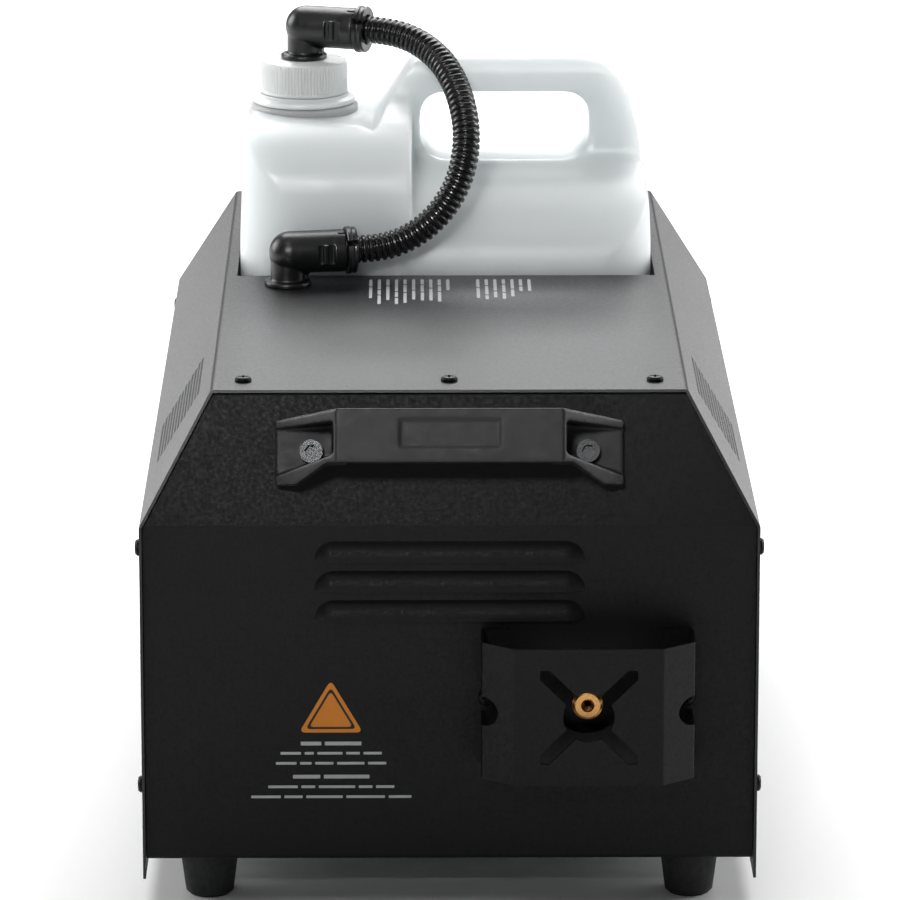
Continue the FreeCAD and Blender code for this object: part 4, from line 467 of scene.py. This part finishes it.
def combined(first, others, operation):
    """The exact boolean of one mesh with others: INTERSECT, UNION or DIFFERENCE."""
    base = helper(first)
    tools = [helper(mesh) for mesh in others]
    for tool in tools:
        cut = base.modifiers.new("cut", "BOOLEAN")
        cut.operation = operation
        cut.solver = "EXACT"
        cut.object = tool
    settle(base)
    mesh = base.data
    for thing in [base] + tools:
        bpy.data.objects.remove(thing)
    return mesh


def joined(*meshes):
    """Several closed meshes put into one, still overlapping."""
    work = bmesh.new()
    for mesh in meshes:
        work.from_mesh(mesh)
    whole = bpy.data.meshes.new("joined")
    work.to_mesh(whole)
    work.free()
    return whole


def moulded(name, mesh, cell, relax):
    """A moulded skin: overlapping closed shapes become one even mesh, whose edges are then relaxed."""
    thing = helper(mesh)
    remesh = thing.modifiers.new("remesh", "REMESH")
    remesh.mode = "VOXEL"
    remesh.voxel_size = cell
    if relax:
        soften = thing.modifiers.new("soften", "SMOOTH")
        soften.factor = 0.5
        soften.iterations = relax
    settle(thing)
    made = thing.data
    made.name = name
    bpy.data.objects.remove(thing)
    return outward(made)


def turned(mesh, angle, origin):
    """Turns a mesh about the upright axis through the origin and then moves it."""
    c, s = math.cos(angle), math.sin(angle)
    spun = points_of(mesh) @ np.array([[c, s, 0], [-s, c, 0], [0, 0, 1]]) + np.asarray(origin)
    return put_points(mesh, spun)


def rolled(mesh, angle, origin):
    """Turns a mesh about the X axis and then moves it."""
    place = points_of(mesh)
    c, s = math.cos(angle), math.sin(angle)
    spun = np.stack([place[:, 0], place[:, 1] * c - place[:, 2] * s,
                     place[:, 1] * s + place[:, 2] * c], axis=1)
    return put_points(mesh, spun + np.asarray(origin))


def laid_along_x(mesh):
    """Lays an upright lathe down, so that its axis runs along +X."""
    place = points_of(mesh)
    return outward(put_points(mesh, np.stack([place[:, 2], place[:, 1], -place[:, 0]], axis=1)))


def finish_nodes(names, finish):
    """Gives CAD nodes a material of their own."""
    for name in names:
        NODES[name].data.materials.clear()
        NODES[name].data.materials.append(finish)


# ---- hose --------------------------------------------------------------------------------------------

def way_of(turn):
    """The level direction at an angle from +X: its cosine and its sine."""
    return np.array([math.cos(turn), math.sin(turn), 0.0])


def mouth(seat, turn):
    """Where the hose enters an elbow's arm."""
    return seat + np.array([0, 0, ELBOW_AXIS]) + way_of(turn) * ELBOW_LENGTH


def hose_route():
    """The hose's control points: level out of one elbow, its loop, and level into the other."""
    low, high = mouth(LOWER_SEAT, LOWER_TURN), mouth(UPPER_SEAT, UPPER_TURN)
    ends = np.array([low, low + way_of(LOWER_TURN) * HOSE_LEAD])
    back = np.array([high + way_of(UPPER_TURN) * HOSE_LEAD, high])
    return np.vstack([ends, LOWER_SEAT + HOSE_LOOP, back])


def spline_points(route, steps=24):
    """Points read along the NURBS spline of a route."""
    curve = bpy.data.curves.new("hose_route", "CURVE")
    curve.dimensions = "3D"
    spline = curve.splines.new("NURBS")
    spline.points.add(len(route) - 1)
    spline.points.foreach_set("co", np.hstack([route, np.ones((len(route), 1))]).ravel())
    spline.order_u = 3
    spline.use_endpoint_u = True
    spline.resolution_u = steps
    thing = bpy.data.objects.new("hose_route", curve)
    bpy.context.scene.collection.objects.link(thing)
    bpy.context.view_layer.update()
    mesh = bpy.data.meshes.new_from_object(thing.evaluated_get(bpy.context.evaluated_depsgraph_get()))
    places = points_of(mesh)
    bpy.data.objects.remove(thing)
    return places


def along(points, count):
    """Evenly spaced points, their unit directions, the distances run to them and a line's total length."""
    steps = np.linalg.norm(np.diff(points, axis=0), axis=1)
    run = np.concatenate([[0], np.cumsum(steps)])
    at = np.linspace(0, run[-1], count)
    even = np.stack([np.interp(at, run, points[:, k]) for k in range(3)], axis=1)
    ahead = np.gradient(even, axis=0)
    return even, ahead / np.linalg.norm(ahead, axis=1, keepdims=True), at, run[-1]


class FogHose(bpy.types.Operator):
    """Corrugated hose from the deck's elbow to the cap's elbow."""
    bl_idname = "fog_machine.hose"
    bl_label = "Hose"

    def execute(self, context):
        """Rings about the route's spline, whose radius swells and sinks as a cosine of the distance run.

        A hyperbolic tangent makes the cosine's slopes steeper and its crests broad and flat.
        """
        settings = context.scene.fog_hose
        line = spline_points(hose_route())
        per_pitch, around = 10, 40
        steepness, broadness = 3.0, 0.4
        total = along(line, 2)[3]
        count = int(total / settings.pitch * per_pitch) + 1
        centre, ahead, run, length = along(line, count)
        plane = np.cross([1.0, 0, 0], line[-1] - line[0])
        plane /= np.linalg.norm(plane)
        side = np.cross(ahead, plane)
        side /= np.linalg.norm(side, axis=1, keepdims=True)
        rise = np.cross(side, ahead)
        wave = np.cos(2 * math.pi * run / settings.pitch)
        full = math.tanh(steepness * (1 + broadness))
        crest = 0.5 + 0.5 * np.tanh(steepness * (wave + broadness)) / full
        radius = settings.across / 2 - settings.depth * (1 - np.clip(crest, 0, 1))
        angle = np.linspace(0, 2 * math.pi, around, endpoint=False)
        ring = side[:, None] * np.cos(angle)[None, :, None] + rise[:, None] * np.sin(angle)[None, :, None]
        mesh = surface("hose_corrugated", centre[:, None] + ring * radius[:, None, None])
        finish = flexible_conduit("polyamide_conduit", "050506", "0A0A0B")
        thing = new_object("hose_corrugated", mesh, finish)
        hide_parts("hose")
        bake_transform(thing)
        return {"FINISHED"}


# ---- can, cap and neck -------------------------------------------------------------------------------

# The can's front outline from its middle line, in millimetres: X and the height above the ground.
CAN_FRONT = [(-96.6, 77.0), (96.6, 77.0), (97.6, 236.0), (96.4, 261.0), (93.9, 280.0), (91.0, 296.6),
             (86.3, 311.0), (78.0, 322.0), (66.0, 325.6), (-9.0, 325.2), (-17.6, 322.5), (-24.5, 310.0),
             (-33.5, 294.5), (-39.0, 297.5), (-94.2, 299.5), (-95.8, 280.0), (-97.6, 240.0)]
CAN_FRONT_REACH = [12, 12, 10, 9, 8, 7, 7, 6, 7, 7, 6, 8, 3, 5, 5, 9, 10]
# Half of its side outlines, under the neck and under the grip: the distance from the middle and the height.
NECK_SIDE = [(67.0, 77.0), (67.5, 200.0), (67.0, 262.0), (64.0, 277.0), (56.0, 289.0), (44.0, 297.0),
             (22.0, 303.5), (16.0, 308.0), (16.0, 319.0), (11.5, 326.0)]
GRIP_SIDE = [(67.0, 77.0), (67.5, 196.0), (67.2, 234.0), (63.0, 247.0), (51.0, 260.0), (36.0, 269.0),
             (22.0, 274.0), (15.5, 279.0), (15.5, 300.0), (16.5, 318.0), (12.0, 326.0)]
SIDE_CORNER = 7.0
# Where the two parts meet, and how far the grip's part runs in under the neck's.
CAN_SPLIT = -16.0
CAN_OVERLAP = 6.0
# The plan outline: half of its width, half of its depth at the corners and in the middle, and its arcs.
CAN_HALF_WIDTH = 97.6
CAN_HALF_DEPTH = 67.2
CAN_HALF_BULGE = 68.2
CAN_CORNER = 34.0
CAN_BULGE = 40.0
GRIP_HOLE_CORNER = 13.0
GRIP_HOLE = [(-12.0, 276.5), (68.5, 276.5), (68.5, 308.5), (-12.0, 308.5)]


class FogCan(bpy.types.Operator):
    """Blown fluid can with its grip."""
    bl_idname = "fog_machine.can"
    bl_label = "Can"

    def execute(self, context):
        """The front, side and plan outlines carried through each other, less the grip hole.

        The part under the neck and the pinched part around the grip have side outlines of their own.
        """
        settings = context.scene.fog_can
        middle = CAN_MIDDLE / MM
        wide, deep, bulge = CAN_HALF_WIDTH, CAN_HALF_DEPTH, CAN_HALF_BULGE
        past_sides, past_faces, past_hole, under, over = 110.0, 90, 100, 60, 340
        front = prism("front", rounded(CAN_FRONT, CAN_FRONT_REACH), middle - past_faces,
                      middle + past_faces, "Y")
        corners = [(-wide, middle - deep), (0, middle - bulge), (wide, middle - deep),
                   (wide, middle + deep), (0, middle + bulge), (-wide, middle + deep)]
        plan = prism("plan", rounded(corners, [CAN_CORNER, CAN_BULGE, CAN_CORNER] * 2, 16), under, over, "Z")
        halves = []
        for half, low, high in ((NECK_SIDE, -past_sides, CAN_SPLIT),
                                (GRIP_SIDE, CAN_SPLIT - CAN_OVERLAP, past_sides)):
            half = np.array(half)
            side_outline = np.vstack([half, (half * [-1, 1])[::-1]]) + [middle, 0]
            side = prism("side", rounded(side_outline, SIDE_CORNER), low, high, "X")
            halves.append(combined(front, [side, plan], "INTERSECT"))
        hole = prism("hole", rounded(GRIP_HOLE, GRIP_HOLE_CORNER), middle - past_hole,
                     middle + past_hole, "Y")
        halves[1] = combined(halves[1], [hole], "DIFFERENCE")
        mesh = moulded("can_blown", joined(*halves), settings.voxel, settings.softness)
        finish = blown_polyethylene("polyethylene_blown", settings.colour, CAN_MIDDLE)
        thing = new_object("can_blown", mesh, finish)
        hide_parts("can")
        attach(thing, "can_body")

        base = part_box("neck_ring")[0].z / MM
        centre = (*axis_of("cap"), 0)
        shoulder, throat, bore = 25.5, 19.2, 16.0
        neck = lathe("can_neck", [(0.5, base - 14), (shoulder, base - 12), (shoulder, base - 1.2),
                                  (24.6, base - 0.3), (throat, base - 0.3), (throat, base + 12),
                                  (bore, base + 12), (bore, base - 8), (0.5, base - 9)], centre)
        thing = new_object("can_neck", neck, finish, smooth=False)
        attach(thing, "can_body")
        return {"FINISHED"}


CAP_EDGE = math.radians(35)
RIB_DEPTH = 0.55


class FogCap(bpy.types.Operator):
    """Ribbed screw cap and the tamper ring under it."""
    bl_idname = "fog_machine.cap"
    bl_label = "Cap and ring"

    def execute(self, context):
        """Turned profiles; the cap's skirt is pushed in by a sine to the sixth power in each groove."""
        ribs = context.scene.fog_can.ribs
        low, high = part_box("cap")
        bottom, top = low.z / MM, high.z / MM
        centre = (*axis_of("cap"), 0)
        profile = [(19.6, bottom), (20.7, bottom), (20.9, bottom + 0.4), (20.9, bottom + 1.6),
                   (20.95, bottom + 1.9), (20.9, top - 2.6), (20.6, top - 1.6), (20.0, top - 0.9),
                   (19.3, top - 0.5), (18.4, top - 0.25), (16.5, top - 0.25), (16.1, top), (6.8, top),
                   (6.8, top - 1.8), (19.6, top - 1.8)]
        ribbed = np.zeros((len(profile), 1))
        ribbed[4:7] = 1.0

        def ripple(angle, row):
            """Minus the rib's depth times the sixth power of the sine of half the ribs' angle."""
            return -RIB_DEPTH * ribbed[row[:, 0]] * np.sin(ribs * angle / 2) ** 6

        finish = moulded_polyethylene("polyethylene_moulded", "D9DCDC")
        mesh = lathe("cap_ribbed", profile, centre, ribs * 10, ripple, looped=True)
        thing = new_object("cap_ribbed", mesh, finish)
        thing.data.set_sharp_from_angle(angle=CAP_EDGE)
        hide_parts("cap")
        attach(thing, "cap")

        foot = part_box("neck_ring")[0].z / MM
        ring = [(19.25, foot), (23.6, foot), (24.2, foot + 0.5), (24.25, foot + 1.6), (23.8, foot + 2.4),
                (22.4, foot + 2.9), (21.6, foot + 3.3), (21.4, foot + 4.6), (19.25, foot + 4.6)]
        thing = new_object("tamper_ring", lathe("tamper_ring", ring, centre, 192, looped=True), finish)
        thing.data.set_sharp_from_angle(angle=CAP_EDGE)
        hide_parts("neck_ring")
        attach(thing, "can_body")
        return {"FINISHED"}


# ---- elbows ------------------------------------------------------------------------------------------

# The elbow's own radii in millimetres: its flange, its barrel, heel and arm, and the band at its mouth.
FLANGE = 10.9
BARREL = 9.9
BAND = 10.0
ELBOW_EDGE = math.radians(40)
FLUTE_SPREAD = 0.45


def cuboid(name, low, high, reach=0.6):
    """A block with rounded upright corners between two corners in millimetres."""
    outline = rounded([(low[0], low[1]), (high[0], low[1]), (high[0], high[1]), (low[0], high[1])], reach, 4)
    return prism(name, outline, low[2], high[2], "Z")


def elbow_shape():
    """An elbow at the origin, its arm along +X: turned flange, barrel, heel and arm moulded together."""
    axis, length = ELBOW_AXIS / MM, ELBOW_LENGTH / MM
    origin, around, heel_shift = (0, 0, 0), 64, 1.2 * MM
    stem = lathe("stem", [(FLANGE, 0.0), (FLANGE, 2.0), (10.5, 2.5), (8.0, 2.6), (8.0, axis)], origin, around)
    bend = np.linspace(-math.pi / 2, math.pi / 2, 24)
    heel = lathe("heel", np.stack([0.02 + BARREL * np.cos(bend), axis + BARREL * np.sin(bend)], 1),
                 (heel_shift, 0, 0), around)
    arm_profile = [(BARREL, 1.5), (BARREL, length - 6.5), (BAND, length - 6.0), (BAND, length - 0.6),
                   (9.5, length), (0.1, length)]
    arm = laid_along_x(lathe("arm", arm_profile, origin, around))
    arm = turned(arm, 0.0, (0, 0, ELBOW_AXIS))
    foot = cuboid("foot", (-2.0, -2.2, 2.0), (9.8, 2.2, axis - 6.0))
    solid = moulded("elbow", joined(stem, heel, arm, foot), 0.45 * MM, 2)
    cuts = []
    for way in (-1, 1):
        near, far = sorted((way * 8.4, way * 12.0))
        cuts.append(cuboid("window", (length - 13.5, near, axis - 4.6), (length - 6.0, far, axis + 4.6), 0.5))
    for turn in (-FLUTE_SPREAD, 0.0, FLUTE_SPREAD):
        flute = cuboid("flute", (length - 3.8, -0.55, 9.35), (length + 1.0, 0.55, 11.0), 0.2)
        cuts.append(rolled(flute, turn, (0, 0, ELBOW_AXIS)))
    opened = combined(solid, cuts, "DIFFERENCE")
    lugs = [cuboid("lug", (length - 11.4, min(way * 7.5, way * 9.7), axis - 4.6),
                   (length - 9.2, max(way * 7.5, way * 9.7), axis + 4.6), 0.7) for way in (-1, 1)]
    return moulded("elbow", joined(opened, *lugs), 0.4 * MM, 1)


def collar_shape():
    """The split collar at the arm's mouth: a ring with a slot."""
    length, axis = ELBOW_LENGTH / MM, ELBOW_AXIS / MM
    profile = [(6.9, length + 0.1), (10.6, length + 0.1), (11.1, length + 0.5), (11.2, length + 2.0),
               (10.7, length + 2.6), (10.7, length + 3.4), (11.0, length + 4.2), (10.6, length + 5.0),
               (7.4, length + 5.0), (6.9, length + 4.4)]
    ring = turned(laid_along_x(lathe("ring", profile, (0, 0, 0), 96, looped=True)), 0.0, (0, 0, ELBOW_AXIS))
    slot = cuboid("slot", (length - 1, -12.0, axis + 4.0), (length + 6, -5.0, axis + 6.6), 0.3)
    return combined(ring, [slot], "DIFFERENCE")


class FogElbows(bpy.types.Operator):
    """The two hose elbows and their split collars."""
    bl_idname = "fog_machine.elbows"
    bl_label = "Elbows"

    def execute(self, context):
        """One elbow and one collar shape, turned to each arm's direction and set on its seat."""
        finish = moulded_nylon("nylon_elbow", "0B0C0D", "101113", 0.34)
        for prefix, seat, turn, body in (("lower", LOWER_SEAT, LOWER_TURN, "chassis"),
                                         ("upper", UPPER_SEAT, UPPER_TURN, "can_body")):
            for kind, shape in (("elbow", elbow_shape), ("collar", collar_shape)):
                mesh = turned(shape(), turn, seat)
                thing = new_object(f"{prefix}_{kind}_moulded", outward(mesh), finish)
                thing.data.set_sharp_from_angle(angle=ELBOW_EDGE)
                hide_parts(f"{prefix}_{kind}")
                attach(thing, body)
        return {"FINISHED"}


# ---- grip, markings and finishes ---------------------------------------------------------------------

class FogGrip(bpy.types.Operator):
    """The moulded carrying grip on the front."""
    bl_idname = "fog_machine.grip"
    bl_label = "Grip"

    def execute(self, context):
        """The frame's grip, its triangles merged, remade as an even skin with relaxed edges."""
        mesh = outward(NODES["handle"].data.copy())
        skin = moulded("grip_moulded", mesh, cell=0.75 * MM, relax=3)
        thing = new_object("grip_moulded", skin, moulded_nylon("nylon_grip", "08090A", "0D0E0F", 0.5))
        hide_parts("handle")
        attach(thing, "chassis")
        return {"FINISHED"}


# Bars in place of printed wording: on the front, each row's height, thickness and bar lengths; on the
# deck, each row's X and bar lengths.
FRONT_LINES = [(74.6, 1.7, (9, 16)), (70.4, 1.2, (9, 4, 11, 6, 8)), (65.8, 1.2, (9, 5, 8, 12, 8)),
               (59.4, 1.7, (12, 20)), (55.0, 1.2, (13, 6, 16, 6, 8)), (50.4, 1.2, (13, 8, 16, 17, 10))]
DECK_LINES = [(-36.0, (14, 22)), (-32.0, (20, 9, 17)), (-28.0, (12, 28)), (-24.0, (24, 10, 12)),
              (-20.0, (9, 15, 20)), (-16.0, (21, 18)), (-12.0, (10, 13, 16)), (-8.0, (17, 24)),
              (-4.0, (12, 10, 19)), (0.0, (22,)), (14.0, (16, 20)), (18.0, (12, 17, 8)), (22.0, (23, 12)),
              (26.0, (9, 15, 12)), (30.0, (19, 14)), (34.0, (13, 9)), (38.0, (24,))]


# The same marks' places in millimetres: the front ones' common middle line, and where the deck's rows start.
MARK_MIDDLE = -52.0
DECK_START = 4.0
FRONT_GAP = 1.6
DECK_GAP = 2.0
DECK_BAR = 1.5
BAR_CORNER = 0.3
INK = 0.06


def bar_outline(x, y, wide, high):
    """A bar's outline from its lower left corner."""
    return rounded([(x, y), (x + wide, y), (x + wide, y + high), (x, y + high)], BAR_CORNER, 3)


class FogMarkings(bpy.types.Operator):
    """Plain printed marks: an orange triangle, and bars in place of wording."""
    bl_idname = "fog_machine.markings"
    bl_label = "Markings"

    def execute(self, context):
        """Thin prisms that stand one or two layers of ink off the panel and the deck."""
        orange = printed_ink("ink_orange", "CC7A14")
        black = printed_ink("ink_black", "0C0B0A")
        white = printed_ink("ink_white", "A9ABAC")
        face, deck = PANEL_FRONT / MM, DECK_TOP / MM
        tip = np.array([(MARK_MIDDLE - 14.0, 80.5), (MARK_MIDDLE + 14.0, 80.5), (MARK_MIDDLE, 104.5)])
        middle = tip.mean(0)
        plate = prism("plate", rounded(tip, 3.0, 6), face - INK, face, "Y")
        border = prism("border", rounded(middle + (tip - middle) * 0.8, 2.4, 6), face - 2 * INK, face, "Y")
        hollow = prism("hollow", rounded(middle + (tip - middle) * 0.68, 2.0, 6), face - 1, face + 1, "Y")
        marks = [("mark_triangle", plate, orange),
                 ("mark_triangle_border", combined(border, [hollow], "DIFFERENCE"), black)]
        front_bars, deck_bars = [], []
        for z, thick, words in FRONT_LINES:
            x = MARK_MIDDLE - (sum(words) + FRONT_GAP * (len(words) - 1)) / 2
            for word in words:
                front_bars.append(prism("bar", bar_outline(x, z, word, thick), face - INK, face, "Y"))
                x += word + FRONT_GAP
        for x, words in DECK_LINES:
            y = DECK_START
            for word in words:
                outline = bar_outline(x, y - word, DECK_BAR, word)
                deck_bars.append(prism("bar", outline, deck, deck + INK, "Z"))
                y -= word + DECK_GAP
        marks.append(("mark_front_bars", joined(*front_bars), white))
        marks.append(("mark_deck_bars", joined(*deck_bars), white))
        for name, mesh, finish in marks:
            thing = new_object(name, mesh, finish, smooth=False)
            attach(thing, "chassis")
        return {"FINISHED"}


class FogFinishes(bpy.types.Operator):
    """Finishes of every part that keeps its own shape."""
    bl_idname = "fog_machine.finishes"
    bl_label = "Finishes"

    def execute(self, context):
        housing = context.scene.fog_housing
        grain = housing.grain
        satin = satin_powder_coat("powder_coat_satin", housing.cover_colour, "17181A", grain)
        black = textured_powder_coat("powder_coat_black", housing.panel_colour, "121314", grain)
        finish_nodes(["top_cover", "vent_left", "vent_right"], satin)
        finish_nodes(["front_panel", "rear_panel", "nozzle_guard", "can_well", "heater_case"], black)
        finish_nodes([name for name in NODES if name.startswith("foot_") and name != "foot_screws"]
                     + ["pump_holders"], rubber("rubber_foot", "1A1B1C", "232425"))
        finish_nodes(["cover_screws", "base_screws", "foot_screws", "guard_screws", "socket_screws"],
                     metal("steel_black_oxide", "1B1B1C", "262627", 0.42, 0.4))
        bright = metal("steel_zinc_plated", "B9BBBD", "C8CACB", 0.28, 0.35, (1.0, 1.0, 6.0))
        # Painted shade: the grip's screws are bright plated steel, and their dark grey colour stands in for
        # the shade of the recesses they sit in.
        finish_nodes(["handle_screws"], metal("steel_painted_recess_shade", "4A4B4C", "5A5B5C", 0.25, 0.3))
        finish_nodes(["handle_nuts", "heating_element", "pump_tube", "pump_plunger",
                      "pump_spring", "heater_pipe"], bright)
        finish_nodes(["base_plate", "pump_yoke"],
                     metal("steel_galvanised_sheet", "A7A9AA", "B8BABB", 0.4, 1.2, (1.0, 0.15, 1.0)))
        finish_nodes(["nozzle", "dip_filter"], metal("brass_turned", "D9A566", "C4935A", 0.3, 0.25))
        finish_nodes(["heater_block"], metal("aluminium_cast", "9A9C9E", "AEB0B2", 0.55, 0.9))
        finish_nodes(["heater_insulation"], fibre_blanket("ceramic_fibre", "D9D6CC", "EAE7DE"))
        finish_nodes(["feed_tube", "dip_tube"], clear_tubing("polyurethane_tube", "DDE6E6"))
        finish_nodes(["control_board", "power_board"],
                     circuit_laminate("solder_mask_green", "0E3B22", "1C5A36"))
        finish_nodes(["board_spacers"], moulded_nylon("nylon_white", "D8D8D4", "E4E4E0", 0.45))
        finish_nodes(["display"], smoked_window("acrylic_smoked", "0A0C10"))
        finish_nodes(["power_rocker"], moulded_nylon("nylon_red", "8E1410", "A31B15", 0.3))
        finish_nodes(["button_1", "button_2", "button_3", "button_4", "power_inlet", "fuse_drawer",
                      "power_switch", "data_in", "data_out", "lower_locknut", "upper_locknut", "pump_coil",
                      "temperature_switches"], moulded_nylon("nylon_black", "131415", "1C1D1F", 0.4))
        return {"FINISHED"}


# ---- stage -------------------------------------------------------------------------------------------

def hang(name, lamp, place, aim):
    """Puts a lamp at a place and turns it to look at a point."""
    thing = bpy.data.objects.new(name, lamp)
    bpy.context.scene.collection.objects.link(thing)
    thing.location = place
    toward = Vector(aim) - Vector(place)
    thing.rotation_euler = toward.to_track_quat("-Z", "Y").to_euler()


def area_light(name, place, aim, size, power):
    """A soft square light that looks at a point."""
    lamp = bpy.data.lights.new(name, "AREA")
    lamp.size = size
    lamp.energy = power
    hang(name, lamp, place, aim)


def spot_light(name, place, aim, angle, radius, power):
    """A narrow round light with a soft edge that looks at a point."""
    lamp = bpy.data.lights.new(name, "SPOT")
    lamp.spot_size = angle
    lamp.spot_blend = 1.0
    lamp.shadow_soft_size = radius
    lamp.energy = power
    hang(name, lamp, place, aim)


class FogStage(bpy.types.Operator):
    """Camera, floor and soft studio light."""
    bl_idname = "fog_machine.stage"
    bl_label = "Stage"

    def execute(self, context):
        """A long lens at the settings' place, a wide floor, and a dim white sky with six lamps."""
        settings = context.scene.fog_stage
        eye = bpy.data.cameras.new("camera")
        eye.lens = settings.lens
        eye.sensor_width = 36.0
        eye.clip_start, eye.clip_end = 0.05, 60.0
        camera = bpy.data.objects.new("camera", eye)
        context.scene.collection.objects.link(camera)
        camera.location = settings.place
        camera.rotation_euler = (math.pi / 2 - settings.pitch, 0, -settings.yaw)
        context.scene.camera = camera

        wide = 12.0
        mesh = bpy.data.meshes.new("floor")
        mesh.from_pydata([(-wide, -wide, 0), (wide, -wide, 0), (wide, wide, 0), (-wide, wide, 0)], [],
                         [(0, 1, 2, 3)])
        floor = new_object("floor", mesh, pale_floor("floor_paint", "FFFFFF"), smooth=False)

        world = bpy.data.worlds.new("studio")
        context.scene.world = world
        world.use_nodes = True
        sky = world.node_tree.nodes["Background"]
        sky.inputs["Color"].default_value = (1.0, 1.0, 1.0, 1.0)
        sky.inputs["Strength"].default_value = 0.1
        area_light("top_light", (0, 2.2, 2.6), (0, 0.5, 0), 2.6, 140.0)
        area_light("back_light", (0, 3.2, 1.5), (0, 0, 0.3), 3.2, 9.0)
        area_light("left_light", (-2.6, 0.9, 1.2), (0, 0, 0.2), 1.6, 60.0)
        area_light("right_light", (2.6, 0.9, 1.2), (0, 0, 0.2), 1.6, 60.0)
        area_light("front_light", (-0.5, -1.3, 2.8), (0, 0.1, 0.25), 1.4, 8.0)
        spot_light("can_fill", (-0.35, -1.9, 1.3), (-0.015, 0.08, 0.315), math.radians(12), 0.3, 300.0)
        context.scene.view_settings.view_transform = "Standard"
        return {"FINISHED"}


# ---- sidebar -----------------------------------------------------------------------------------------

class FogPanel(bpy.types.Panel):
    """Lists the pieces of the fog machine and their settings."""
    bl_idname = "FOG_MACHINE_PT_pieces"
    bl_label = "Fog machine"
    bl_space_type = "VIEW_3D"
    bl_region_type = "UI"
    bl_category = "Fog machine"

    def draw(self, context):
        for settings in (context.scene.fog_stage, context.scene.fog_housing, context.scene.fog_can,
                         context.scene.fog_hose):
            for name in settings.__annotations__:
                self.layout.prop(settings, name)
        for piece in PIECES:
            self.layout.operator(piece.bl_idname)


SETTINGS = {"fog_stage": FogStageSettings, "fog_housing": FogHousingSettings, "fog_can": FogCanSettings,
            "fog_hose": FogHoseSettings}
PIECES = (FogStage, FogHose, FogCan, FogCap, FogElbows, FogGrip, FogMarkings, FogFinishes)


def register():
    """Registers the classes and puts the settings on the scene."""
    for made in (*SETTINGS.values(), *PIECES, FogPanel):
        bpy.utils.register_class(made)
    for name, group in SETTINGS.items():
        setattr(bpy.types.Scene, name, PointerProperty(type=group))


def unregister():
    """Takes the settings and the classes away again."""
    for name in SETTINGS:
        delattr(bpy.types.Scene, name)
    for made in reversed((*SETTINGS.values(), *PIECES, FogPanel)):
        bpy.utils.unregister_class(made)


def main():
    """Builds every piece in order."""
    register()
    pieces = bpy.ops.fog_machine
    pieces.stage()
    pieces.hose()
    pieces.can()
    pieces.cap()
    pieces.elbows()
    pieces.grip()
    pieces.markings()
    pieces.finishes()


if __name__ == "__main__":
    main()
